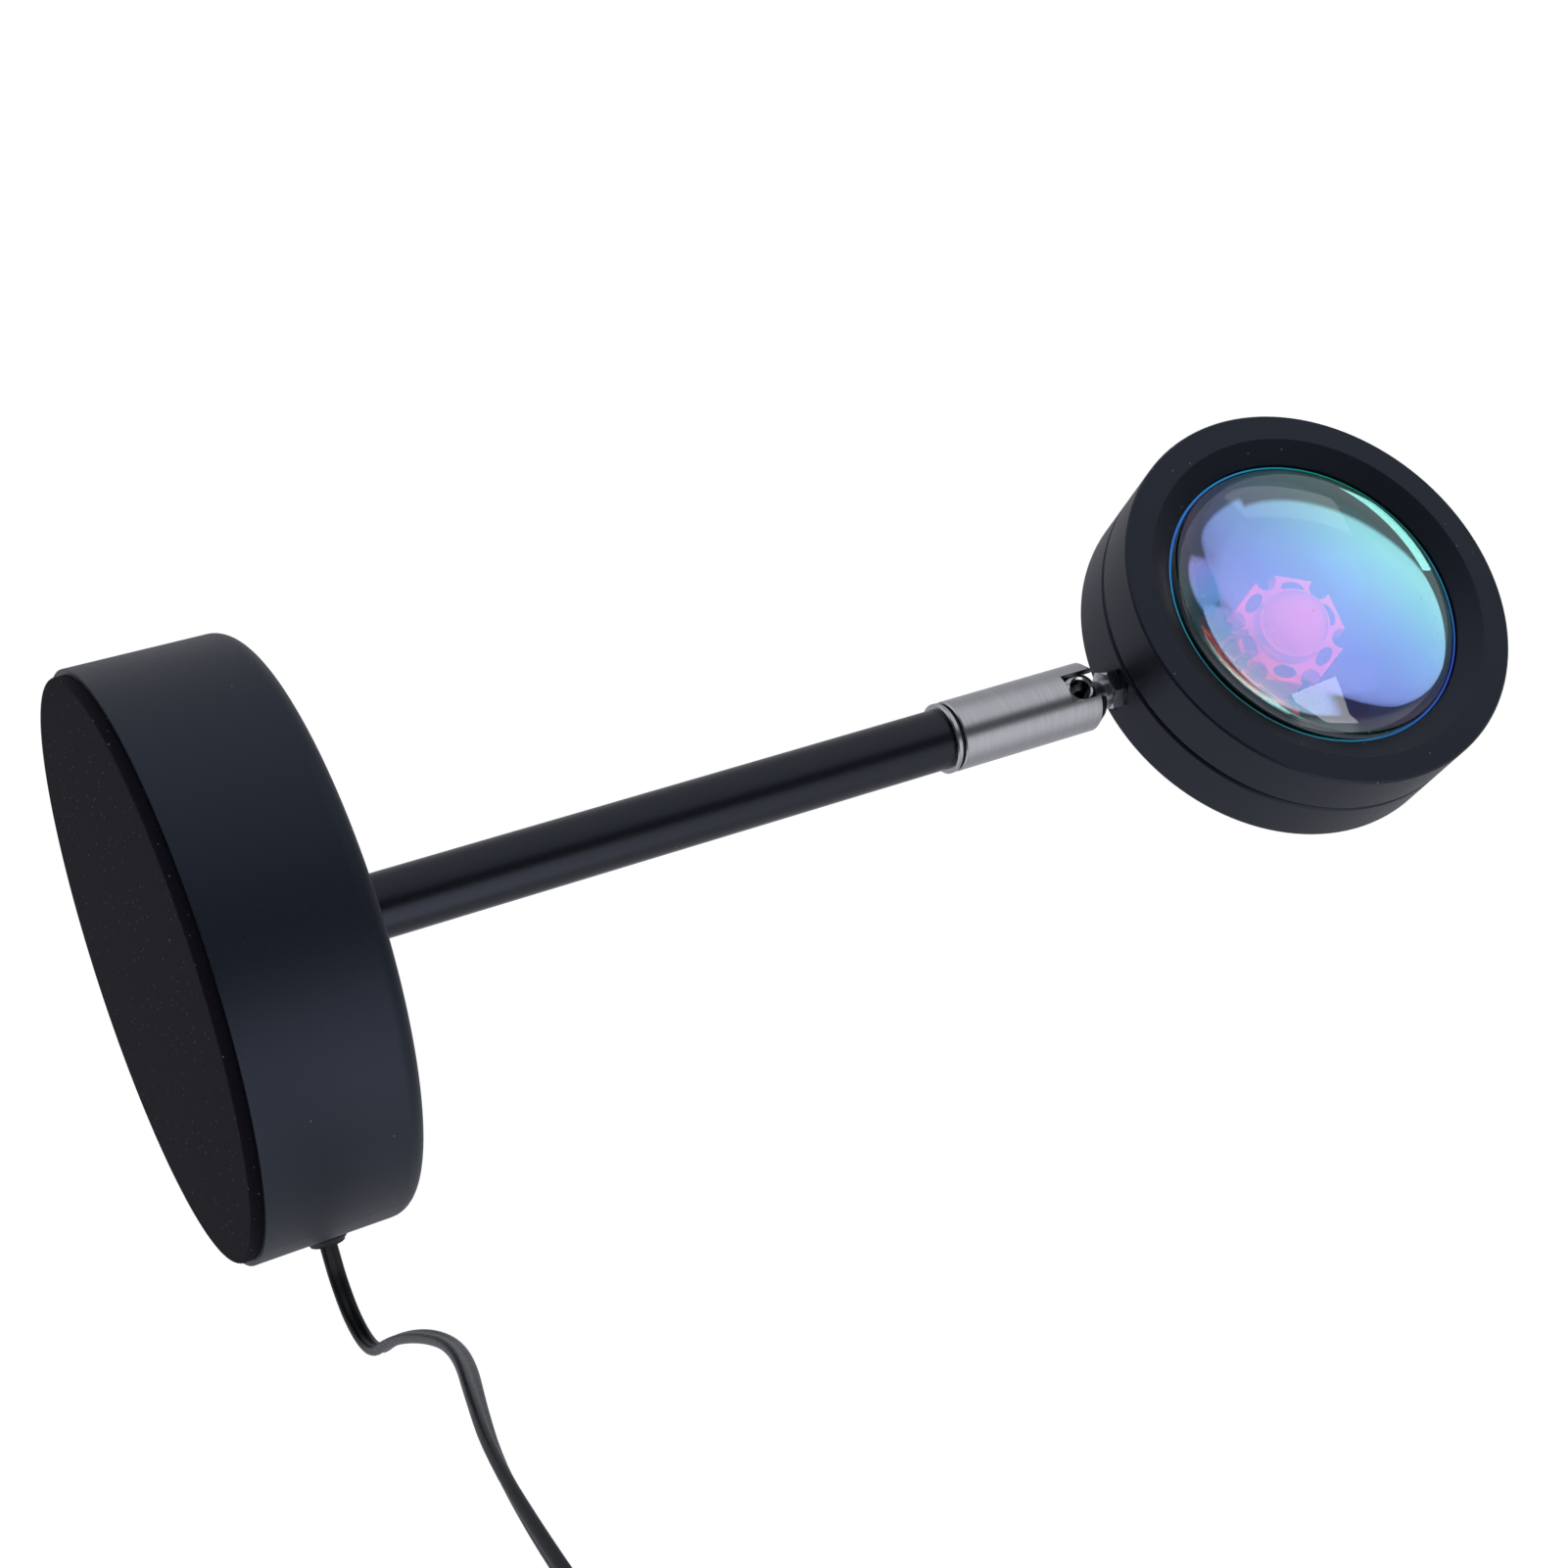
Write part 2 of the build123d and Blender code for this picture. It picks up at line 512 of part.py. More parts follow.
def coil_edges():
    """Middle line of the coil, from its straight start to the plug's tail, round the coil's own axis."""
    count = int((2 * COIL_TURNS + 0.5) * COIL_STEPS)
    stations = [coil_station(step / COIL_STEPS) for step in range(count + 1)]
    head, head_way = stations[0]
    tail, tail_way = stations[-1]
    level = Vector(tail_way.X, tail_way.Y, 0).normalized()
    plug_place = tail + level * PLUG_RUN
    plug_place.Z = PLUG_THICK / 2 + PLUG_LIFT
    stations.append((plug_place, level))
    start = head - head_way * CORD_DIA
    edges = [Line(start, head)]
    for (begin, begin_way), (end, end_way) in zip(stations, stations[1:]):
        edges += biarc(begin, begin_way, end, end_way)
    edges.append(Line(plug_place, plug_place + level * CORD_DIA))
    return edges, start, head_way, plug_place + level * CORD_DIA, level


def cord_pieces():
    """Cord from the grommet to its coil, the coil with its tie, and the plug beside it."""
    points = [EXIT_OUT * NOSE_END + Vector(0, 0, EXIT_HEIGHT)] + [Vector(*point) for point in CORD_ROUTE]
    radii = route_radii(points)
    run, path = swept_tube(points, radii, CORD_DIA)
    section = pi * CORD_DIA ** 2 / 4
    print("cord route radii", [round(radius, 1) for radius in radii], "length", round(path.length, 1))
    print("cord run volume over section times length", round(run.volume / (section * path.length), 5))
    edges, start, start_way, plug_place, plug_way = coil_edges()
    wire = Wire(edges)
    coil = sweep(Plane(origin=start, z_dir=start_way) * Circle(CORD_DIA / 2), path=wire)
    print("coil length", round(wire.length, 1), "least gap to itself", round(least_gap(edges), 3))
    print("coil volume over section times length", round(coil.volume / (section * wire.length), 5))
    arrive = points[-1] - points[-2]
    turn = degrees(atan2(arrive.Y, arrive.X) - atan2(start_way.Y, start_way.X))
    place = Pos(points[-1]) * Rot(0, 0, turn) * Pos(-start)
    plug_frame = Plane(origin=plug_place, x_dir=(plug_way.Y, -plug_way.X, 0), z_dir=plug_way)
    pieces = plug_pieces(plug_frame)
    pieces["cord_coil"] = coil
    pieces["cord_tie"] = coil_tie()
    pieces = {name: place * piece for name, piece in pieces.items()}
    pieces["cord_run"] = run
    return pieces


def least_gap(edges):
    """Least space between the tube and itself, measured on points along its middle line."""
    spots = [edge @ share for edge in edges for share in (0.0, 0.25, 0.5, 0.75)]
    skip = 10
    gaps = [
        (spots[one] - spots[two]).length
        for one in range(len(spots))
        for two in range(one + skip, len(spots))
    ]
    return min(gaps) - CORD_DIA


def coil_tie():
    """Flat band round the coil's bundle of turns."""
    inner_turn = COIL_OUTER - COIL_PITCH * (COIL_TURNS + 0.25) - CORD_DIA / 2
    inner_radius = sqrt(inner_turn ** 2 - (TIE_WIDTH / 2) ** 2) - TIE_GAP
    outer_radius = COIL_OUTER + CORD_DIA / 2 + TIE_GAP
    low = COIL_LOW - CORD_DIA / 2 - TIE_GAP
    high = COIL_LOW + COIL_PITCH + CORD_DIA / 2 + TIE_GAP
    inside = Pos((inner_radius + outer_radius) / 2, 0, (low + high) / 2)
    hole = inside * Box(outer_radius - inner_radius, 2 * TIE_WIDTH, high - low)
    band = inside * Box(outer_radius - inner_radius + 2 * TIE_THICK, TIE_WIDTH, high - low + 2 * TIE_THICK)
    band = fillet(band.edges().filter_by(Axis.Y), TIE_THICK)
    return Rot(0, 0, TIE_ANGLE) * (band - hole)


def plug_pieces(frame):
    """Moulded plug body with its tail, the steel shell of the plug and its contact tongue."""
    half = (USB_WIDTH / 2 - USB_WALL, USB_THICK / 2 - USB_WALL)
    tail = turned((0, 0), (CORD_DIA / 2 + PLUG_TAIL_WALL, 0), (PLUG_TAIL_DIA / 2, PLUG_TAIL), (0, PLUG_TAIL))
    section = RectangleRounded(PLUG_WIDTH, PLUG_THICK, PLUG_CORNER)
    block = extrude(Plane.XY.offset(PLUG_TAIL) * section, PLUG_LENGTH)
    block = fillet(block.edges().filter_by(Plane.XY), PLUG_CORNER / 2)
    body = tail + block
    foot = PLUG_TAIL + PLUG_LENGTH
    outer = extrude(Plane.XY.offset(foot) * RectangleRounded(USB_WIDTH, USB_THICK, USB_WALL * 2), USB_LENGTH)
    inner = extrude(Plane.XY.offset(foot) * Rectangle(2 * half[0], 2 * half[1]), USB_LENGTH)
    shell = outer - inner
    for across in (-USB_WINDOW_SPACING / 2, USB_WINDOW_SPACING / 2):
        shell -= Pos(across, 0, foot + USB_WINDOW_UP) * Box(USB_WINDOW, USB_THICK, USB_WINDOW)
    tongue = Pos(0, half[1] - TONGUE_THICK / 2, foot) * Box(
        2 * half[0], TONGUE_THICK, TONGUE_LENGTH, align=(Align.CENTER, Align.CENTER, Align.MIN)
    )
    return {"plug_body": frame * body, "plug_shell": frame * shell, "plug_tongue": frame * tongue}


def all_pieces():
    """Every piece of the lamp by name, each where it belongs."""
    pieces = {}
    for group in (base_pieces, cord_exit, stem_pieces, swivel_pieces, ball_pieces, cord_pieces):
        pieces.update(group())
    for group in (head_shells, lens_pieces, light_source):
        pieces.update({name: HEAD_FRAME * piece for name, piece in group().items()})
    return pieces


if __name__ == "__main__":
    os.makedirs("parts", exist_ok=True)
    for name, piece in all_pieces().items():
        export_step(piece, "parts/" + name + ".step")
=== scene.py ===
"""Looks of the projection lamp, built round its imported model.

Lengths are in metres, or in millimetres where a name ends in mm or a class says so.
"""

import logging
import math
from collections.abc import Sequence
from dataclasses import dataclass, field
from enum import Enum

import bmesh
import bpy
from mathutils import Matrix, Vector

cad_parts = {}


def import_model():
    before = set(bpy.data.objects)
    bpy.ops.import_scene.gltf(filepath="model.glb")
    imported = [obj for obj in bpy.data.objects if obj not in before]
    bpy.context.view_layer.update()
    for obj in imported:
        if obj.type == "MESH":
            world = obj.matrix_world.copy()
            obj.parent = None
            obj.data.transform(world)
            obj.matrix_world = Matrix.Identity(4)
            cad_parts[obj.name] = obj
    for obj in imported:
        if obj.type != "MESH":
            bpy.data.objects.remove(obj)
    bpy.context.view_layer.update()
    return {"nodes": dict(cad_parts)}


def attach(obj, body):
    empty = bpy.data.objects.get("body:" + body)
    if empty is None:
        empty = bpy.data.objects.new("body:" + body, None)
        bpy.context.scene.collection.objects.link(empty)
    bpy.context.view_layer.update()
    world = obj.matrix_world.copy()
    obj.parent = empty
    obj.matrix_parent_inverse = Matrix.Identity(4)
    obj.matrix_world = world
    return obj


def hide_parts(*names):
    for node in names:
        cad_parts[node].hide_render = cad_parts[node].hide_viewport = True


LOG = logging.getLogger("projection_lamp")
MM = 0.001
# Height of the axis that the head's round pieces share.
HEAD_AXIS_MM = 245.03
HEAD_MIDDLE = (0.0, 0.0, HEAD_AXIS_MM * MM)
# Sockets of the mix node, which share their names: two values, then two colours.
VALUE_A, VALUE_B, COLOUR_A, COLOUR_B = 2, 3, 6, 7

Triple = tuple[float, float, float]


def linear(hex_colour: str) -> tuple[float, float, float, float]:
    """Turn an sRGB hex colour into the linear colour that shaders take.

    Args:
        hex_colour: colour such as "#20242c".

    Returns:
        Red, green, blue and alpha.
    """
    parts = [int(hex_colour[start:start + 2], 16) / 255 for start in (1, 3, 5)]
    low_high = [p / 12.92 if p <= 0.04045 else ((p + 0.055) / 1.055) ** 2.4 for p in parts]
    return (low_high[0], low_high[1], low_high[2], 1.0)


def add_node(
    tree: bpy.types.NodeTree, kind: str, inputs: dict | None = None, **settings: object
) -> bpy.types.Node:
    """Add a node with its settings, values and links.

    Args:
        tree: tree that takes the node.
        kind: Blender's name for the node.
        inputs: sockets by name or number, each with a value, the socket that feeds it, or a node whose
            first output feeds it.
        settings: properties of the node itself.

    Returns:
        The new node.
    """
    node = tree.nodes.new(kind)
    for key, value in settings.items():
        setattr(node, key, value)
    for key, value in (inputs or {}).items():
        if isinstance(value, bpy.types.Node):
            value = next(socket for socket in value.outputs if socket.enabled)
        if isinstance(value, bpy.types.NodeSocket):
            tree.links.new(value, node.inputs[key])
        else:
            node.inputs[key].default_value = value
    return node


def set_ramp(node: bpy.types.Node, stops: Sequence[tuple[float, str]]) -> None:
    """Give a colour ramp its stops.

    Args:
        node: colour ramp node.
        stops: place and hex colour of each stop, in rising order.
    """
    elements = node.color_ramp.elements
    while len(elements) < len(stops):
        elements.new(1.0)
    for element, (place, colour) in zip(elements, stops):
        element.position = place
        element.color = linear(colour)


def specked(
    tree: bpy.types.NodeTree,
    ground: bpy.types.Node,
    speck: str,
    spacing_mm: float,
    edge_mm: tuple[float, float],
    cover: float = 1.0,
) -> bpy.types.Node:
    """Strew specks over a colour.

    Args:
        tree: tree that takes the nodes.
        ground: node that gives the colour underneath.
        speck: colour of a speck.
        spacing_mm: from one speck to the next.
        edge_mm: distances from a speck's middle at which it starts to fade and is gone.
        cover: how much of the ground a speck hides.

    Returns:
        Node that gives the specked colour.
    """
    place = add_node(tree, "ShaderNodeTexCoord").outputs["Object"]
    cells = add_node(tree, "ShaderNodeTexVoronoi", {"Vector": place, "Scale": 1 / (spacing_mm * MM)})
    near = add_node(
        tree,
        "ShaderNodeMapRange",
        {
            "Value": cells,
            "From Min": edge_mm[0] / spacing_mm,
            "From Max": edge_mm[1] / spacing_mm,
            "To Min": cover,
            "To Max": 0.0,
        },
    )
    inputs = {"Factor": near, COLOUR_A: ground, COLOUR_B: linear(speck)}
    return add_node(tree, "ShaderNodeMix", inputs, data_type="RGBA")


def new_tree(name: str) -> tuple[bpy.types.Material, bpy.types.NodeTree]:
    """Start an empty material.

    Args:
        name: the material's name.

    Returns:
        The material and its node tree.
    """
    material = bpy.data.materials.new(name)
    material.use_nodes = True
    material.node_tree.nodes.clear()
    return material, material.node_tree


def dress(thing: bpy.types.Object, material: bpy.types.Material) -> None:
    """Give an object one material.

    Args:
        thing: CAD node or new piece.
        material: what it gets.
    """
    if not thing.material_slots:
        thing.data.materials.append(material)
    for slot in thing.material_slots:
        slot.material = material
    LOG.info("%s is %s", thing.name, material.name)


def piece_from(
    name: str, mesh: bpy.types.Mesh, body: str, material: bpy.types.Material
) -> bpy.types.Object:
    """Put a finished mesh into the scene as a piece of the lamp.

    Args:
        name: the piece's name.
        mesh: its mesh, already in place.
        body: CAD body that it moves with.
        material: its finish.

    Returns:
        The new object.
    """
    thing = bpy.data.objects.new(name, mesh)
    bpy.context.scene.collection.objects.link(thing)
    dress(thing, material)
    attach(thing, body)
    return thing


def mesh_from_curve(curve: bpy.types.Curve, name: str) -> bpy.types.Mesh:
    """Make a mesh of a curve as it stands.

    Args:
        curve: curve data with or without a section.
        name: name of the mesh.

    Returns:
        The mesh.
    """
    holder = bpy.data.objects.new(name + "_curve", curve)
    bpy.context.scene.collection.objects.link(holder)
    graph = bpy.context.evaluated_depsgraph_get()
    mesh = bpy.data.meshes.new_from_object(holder.evaluated_get(graph), depsgraph=graph)
    mesh.name = name
    bpy.data.objects.remove(holder)
    return mesh


class Body(Enum):
    """Rigid groups of the model."""

    STAND = "stand"
    SWIVEL = "swivel"
    HEAD = "head"


@dataclass(frozen=True)
class Finish:
    """A material with grain in its colour, roughness and surface.

    Fields:
        name: common name and how the surface was made.
        colour: main colour.
        fleck: second colour that the grain mixes in.
        metallic: 1 for bare metal.
        roughness: middle roughness.
        spread: how far the grain moves the roughness each way.
        grain_mm: size of one grain, drawn coarser than the real one where that is too fine to show.
        relief_mm: height of the grain.
        specular: the shader's specular level.
        tint: colour of its gloss.
        stretch: scale of the grain along X, Y and Z, below 1 where it is drawn out.
        dust_mm: from one speck of dust to the next, or 0 for none.
        dust: colour of the dust.
        dust_edge_mm: where a speck starts to fade and is gone, larger than real dust so that it shows.
    """

    name: str
    colour: str
    fleck: str
    metallic: float = 0.0
    roughness: float = 0.5
    spread: float = 0.06
    grain_mm: float = 0.4
    relief_mm: float = 0.004
    specular: float = 0.5
    tint: str = "#ffffff"
    stretch: Triple = (1.0, 1.0, 1.0)
    dust_mm: float = 0.0
    dust: str = "#62656c"
    dust_edge_mm: tuple[float, float] = (0.12, 0.22)

    def build(self) -> bpy.types.Material:
        """Make the material.

        Returns:
            The material.
        """
        material, tree = new_tree(self.name)
        place = add_node(tree, "ShaderNodeTexCoord").outputs["Object"]
        drawn_out = add_node(tree, "ShaderNodeMapping", {"Vector": place, "Scale": self.stretch})
        grain = add_node(
            tree,
            "ShaderNodeTexNoise",
            {"Vector": drawn_out, "Scale": 1 / (self.grain_mm * MM), "Detail": 3.0, "Roughness": 0.55},
        )
        colour = add_node(tree, "ShaderNodeValToRGB", {"Fac": grain})
        set_ramp(colour, [(0.35, self.colour), (0.75, self.fleck)])
        if self.dust_mm:
            colour = specked(tree, colour, self.dust, self.dust_mm, self.dust_edge_mm)
        rough = add_node(
            tree,
            "ShaderNodeMapRange",
            {
                "Value": grain,
                "From Min": 0.3,
                "From Max": 0.7,
                "To Min": self.roughness - self.spread,
                "To Max": self.roughness + self.spread,
            },
        )
        bump = add_node(
            tree, "ShaderNodeBump", {"Height": grain, "Strength": 1.0, "Distance": self.relief_mm * MM}
        )
        shader = add_node(
            tree,
            "ShaderNodeBsdfPrincipled",
            {
                "Base Color": colour,
                "Roughness": rough,
                "Normal": bump,
                "Metallic": self.metallic,
                "Specular IOR Level": self.specular,
                "Specular Tint": linear(self.tint),
            },
        )
        add_node(tree, "ShaderNodeOutputMaterial", {"Surface": shader})
        return material


# Stoved lacquer on pressed steel: near black with a little blue, silky, with the faintest orange peel.
LACQUER = Finish("black stoved lacquer", "#0f1218", "#13171e", roughness=0.46, spread=0.03, grain_mm=0.7,
                 relief_mm=0.0015, specular=0.43, tint="#c8d6f2", dust_mm=7.0)
# The tube's coat flows out smoother than the shell's, so its streaks of light are sharper.
TUBE_LACQUER = Finish("black gloss lacquer", "#0a0b10", "#0e1015", roughness=0.3, spread=0.03, grain_mm=0.7,
                      relief_mm=0.0015, specular=0.43, tint="#d0d8ea", dust_mm=7.0)
# Anodised aluminium after bead blasting: duller than lacquer, with a fine even sparkle of grit.
ANODISED = Finish("black blasted anodised aluminium", "#0d1016", "#141820", roughness=0.42, spread=0.05,
                  grain_mm=0.35, relief_mm=0.003, specular=0.36, tint="#c8d6f2", dust_mm=5.0)
# Zinc plate on pressed or turned steel: pale grey, softly clouded.
ZINC = Finish("zinc plated steel", "#a9acb0", "#8e9296", metallic=1.0, roughness=0.34, grain_mm=1.2,
              relief_mm=0.002)
# Brass as it leaves the lathe: yellow, with fine rings round its axis.
BRASS = Finish("turned brass", "#b8944a", "#a37f38", metallic=1.0, roughness=0.26, grain_mm=0.8,
               relief_mm=0.001, stretch=(0.1, 0.1, 1.0))
# Chrome that has been handled: bright, with soft edges to what it mirrors.
CHROME = Finish("chrome plate, a little dull", "#b9babd", "#a8aaad", metallic=1.0, roughness=0.2, spread=0.04,
                grain_mm=0.9, relief_mm=0.001)
# Iron as it leaves the sand: dark grey, dull and coarse.
IRON = Finish("cast iron", "#4a4a4b", "#343435", metallic=0.6, roughness=0.7, grain_mm=1.6, relief_mm=0.05)
# Nylon from a smooth mould: black with a soft wide sheen.
NYLON = Finish("black moulded nylon", "#141416", "#1b1b1e", roughness=0.55, grain_mm=0.5, relief_mm=0.004)
# Rubber from a mould: dull black with hardly a sheen.
RUBBER = Finish("black moulded rubber", "#161617", "#1d1d1f", roughness=0.62, grain_mm=0.4, relief_mm=0.006,
                specular=0.35)
# Soft sheath drawn over the cores: black and smooth, with one long streak of light.
SHEATH = Finish("soft black cord sheath", "#0f1014", "#15161a", roughness=0.4, spread=0.05, grain_mm=0.9,
                relief_mm=0.004, specular=0.3)
# ABS from a finely etched mould: black and evenly matt.
ABS = Finish("black moulded ABS", "#141517", "#1a1b1e", roughness=0.5, grain_mm=0.35, relief_mm=0.006,
             specular=0.4)
# Smooth white plastic that carries the contacts.
CONTACTS = Finish("white moulded plastic", "#e4e4e2", "#d8d8d6", roughness=0.5, grain_mm=0.6, relief_mm=0.003)
# Filled silicone sheet: flat grey, without gloss.
THERMAL = Finish("grey thermal sheet", "#9aa0a8", "#8b9199", roughness=0.8, grain_mm=0.5, relief_mm=0.006)
# Fired ceramic: warm white with a low gloss.
EMITTER_BODY = Finish("white ceramic", "#efece6", "#e3dfd8", roughness=0.45, grain_mm=0.5, relief_mm=0.003)
# Clear silicone over pale phosphor: creamy, with a wet gloss.
SILICONE = Finish("silicone over phosphor", "#efe7dc", "#e9dfcb", roughness=0.22, grain_mm=0.6,
                  relief_mm=0.001)
# Drawn insulation: deep red, half dull.
WIRE = Finish("red wire insulation", "#8c1c1a", "#7a1614", roughness=0.5, grain_mm=0.6, relief_mm=0.003)


@dataclass(frozen=True)
class BrushedNickel:
    """Nickel plate over turned steel, brushed round its axis: fine rings that spread light along the sleeve.

    Fields:
        name: common name and how the surface was made.
        colour: colour between the rings.
        line: colour of a ring.
        line_mm: from one ring to the next.
        stretch: scale of the rings along X, Y and Z: short along Z, long round the sleeve.
        roughness: in a ring and beside it.
        relief_mm: depth of a ring.
    """

    name: str = "brushed nickel"
    colour: str = "#b2b1b2"
    line: str = "#a4a3a4"
    line_mm: float = 0.22
    stretch: Triple = (0.02, 0.02, 1.0)
    roughness: tuple[float, float] = (0.34, 0.16)
    relief_mm: float = 0.002

    def build(self) -> bpy.types.Material:
        """Make the material.

        Returns:
            The material.
        """
        material, tree = new_tree(self.name)
        place = add_node(tree, "ShaderNodeTexCoord").outputs["Object"]
        rings = add_node(tree, "ShaderNodeMapping", {"Vector": place, "Scale": self.stretch})
        lines = add_node(
            tree,
            "ShaderNodeTexNoise",
            {"Vector": rings, "Scale": 1 / (self.line_mm * MM), "Detail": 4.0, "Roughness": 0.7},
        )
        colour = add_node(tree, "ShaderNodeValToRGB", {"Fac": lines})
        set_ramp(colour, [(0.3, self.line), (0.62, self.colour)])
        in_ring, beside = self.roughness
        rough = add_node(tree, "ShaderNodeMapRange", {"Value": lines, "To Min": in_ring, "To Max": beside})
        bump = add_node(
            tree, "ShaderNodeBump", {"Height": lines, "Strength": 1.0, "Distance": self.relief_mm * MM}
        )
        shader = add_node(
            tree,
            "ShaderNodeBsdfPrincipled",
            {"Base Color": colour, "Roughness": rough, "Normal": bump, "Metallic": 1.0},
        )
        add_node(tree, "ShaderNodeOutputMaterial", {"Surface": shader})
        return material


@dataclass(frozen=True)
class PadFoam:
    """Soft closed-cell foam: dull purple-black, finely pitted, with painted shade in the pits and pale lint
    caught on it.

    Fields:
        name: common name and how the surface was made.
        colour: colour of the cell walls.
        deep: colour inside the cells, darker than the walls: painted shade in the pits.
        cell_mm: size of a cell, drawn coarser than the real one so that it shows.
        relief_mm: depth of a cell.
        lint: colour of the lint.
        lint_mm: from one speck of lint to the next.
        lint_edge_mm: where a speck starts to fade and is gone.
        roughness: dull all over.
        specular: the shader's specular level, low because light gets lost in the cells.
    """

    name: str = "black closed-cell foam"
    colour: str = "#16151e"
    deep: str = "#111017"
    cell_mm: float = 0.9
    relief_mm: float = 0.03
    lint: str = "#7d7780"
    lint_mm: float = 1.8
    lint_edge_mm: tuple[float, float] = (0.09, 0.18)
    roughness: float = 0.85
    specular: float = 0.07

    def build(self) -> bpy.types.Material:
        """Make the material.

        Returns:
            The material.
        """
        material, tree = new_tree(self.name)
        place = add_node(tree, "ShaderNodeTexCoord").outputs["Object"]
        cells = add_node(
            tree,
            "ShaderNodeTexNoise",
            {"Vector": place, "Scale": 1 / (self.cell_mm * MM), "Detail": 5.0, "Roughness": 0.65},
        )
        foam = add_node(tree, "ShaderNodeValToRGB", {"Fac": cells})
        # The low points of the cells, the pits, take the darker colour: painted shade.
        set_ramp(foam, [(0.3, self.deep), (0.7, self.colour)])
        bump = add_node(
            tree, "ShaderNodeBump", {"Height": cells, "Strength": 1.0, "Distance": self.relief_mm * MM}
        )
        shader = add_node(
            tree,
            "ShaderNodeBsdfPrincipled",
            {
                "Base Color": specked(tree, foam, self.lint, self.lint_mm, self.lint_edge_mm),
                "Roughness": self.roughness,
                "Specular IOR Level": self.specular,
                "Normal": bump,
            },
        )
        add_node(tree, "ShaderNodeOutputMaterial", {"Surface": shader})
        return material


@dataclass(frozen=True)
class LensGlass:
    """Pressed and polished optical glass: clear, so that the filter and the light board show through it.

    Fields:
        name: common name and how the surface was made.
        colour: the glass's own faint tone.
        ior: how strongly it bends light.
    """

    name: str = "pressed optical glass"
    colour: str = "#fbfdff"
    ior: float = 1.5

    def build(self) -> bpy.types.Material:
        """Make the material.

        Returns:
            The material.
        """
        material, tree = new_tree(self.name)
        shader = add_node(
            tree,
            "ShaderNodeBsdfPrincipled",
            {
                "Base Color": linear(self.colour),
                "Roughness": 0.0,
                "IOR": self.ior,
                "Transmission Weight": 1.0,
            },
        )
        add_node(tree, "ShaderNodeOutputMaterial", {"Surface": shader})
        return material


@dataclass(frozen=True)
class ColourFilter:
    """Dichroic coating on glass: mirrors violet, blue and mint across its width and lets red light through.

    Fields:
        name: common name and how the surface was made.
        bands: colours that it mirrors, along the slope of the coating.
        slope: direction in which the coating's thickness runs out, the head's upper right.
        radius: the filter's radius.
        through: colour of the light that passes.
        flat: colour that it mirrors at a flat angle.
        flat_from: the facing at which it starts to pale and has paled.
        face_mm: just behind the coated front face, along Y.
        dust: colour of dust on the coating.
        dust_mm: from one speck to the next.
        dust_edge_mm: where a speck starts to fade and is gone.
        dust_cover: how much of the coating a speck hides.
        roughness: nearly that of a polished mirror.
    """

    name: str = "dichroic coated glass"
    bands: tuple[tuple[float, str], ...] = (
        (0.0, "#b2a6dc"),
        (0.22, "#8c96e6"),
        (0.45, "#8aa6f0"),
        (0.6, "#90c2f4"),
        (0.78, "#9ceeee"),
        (1.0, "#74dec0"),
    )
    slope: Triple = (-0.45, 0.0, 0.89)
    radius: float = 35.2 * MM
    through: str = "#f47c70"
    flat: str = "#dcd4ee"
    flat_from: tuple[float, float] = (0.42, 0.72)
    face_mm: float = -11.5
    dust: str = "#101428"
    dust_mm: float = 7.0
    dust_edge_mm: tuple[float, float] = (0.14, 0.245)
    dust_cover: float = 0.75
    roughness: float = 0.02

    def build(self) -> bpy.types.Material:
        """Make the material.

        Returns:
            The material.
        """
        material, tree = new_tree(self.name)
        place = add_node(tree, "ShaderNodeTexCoord").outputs["Object"]
        offset = add_node(tree, "ShaderNodeVectorMath", {0: place, 1: HEAD_MIDDLE}, operation="SUBTRACT")
        slope = Vector(self.slope).normalized() / (2 * self.radius)
        along = add_node(tree, "ShaderNodeVectorMath", {0: offset, 1: slope}, operation="DOT_PRODUCT")
        centred = add_node(tree, "ShaderNodeMath", {0: along, 1: 0.5}, operation="ADD")
        bands = add_node(tree, "ShaderNodeValToRGB", {"Fac": centred})
        set_ramp(bands, self.bands)
        dusty = specked(tree, bands, self.dust, self.dust_mm, self.dust_edge_mm, self.dust_cover)
        # Met at a flat angle, a dichroic coating mirrors all colours.
        weight = add_node(tree, "ShaderNodeLayerWeight", {"Blend": 0.5})
        flat = add_node(
            tree,
            "ShaderNodeMapRange",
            {"Value": weight.outputs["Facing"], "From Min": self.flat_from[0], "From Max": self.flat_from[1]},
        )
        gloss = add_node(
            tree,
            "ShaderNodeMix",
            {"Factor": flat, COLOUR_A: dusty, COLOUR_B: linear(self.flat)},
            data_type="RGBA",
        )
        mirror = add_node(
            tree,
            "ShaderNodeBsdfPrincipled",
            {"Base Color": gloss, "Metallic": 1.0, "Roughness": self.roughness},
        )
        through = add_node(tree, "ShaderNodeBsdfTransparent", {"Color": linear(self.through)})
        both = add_node(tree, "ShaderNodeAddShader", {0: mirror, 1: through})
        # The coating is on the front face alone.
        depth = add_node(tree, "ShaderNodeSeparateXYZ", {"Vector": place}).outputs["Y"]
        behind = add_node(tree, "ShaderNodeMath", {0: depth, 1: self.face_mm * MM}, operation="GREATER_THAN")
        clear = add_node(tree, "ShaderNodeBsdfTransparent")
        surface = add_node(tree, "ShaderNodeMixShader", {"Fac": behind, 1: both, 2: clear})
        add_node(tree, "ShaderNodeOutputMaterial", {"Surface": surface})
        return material


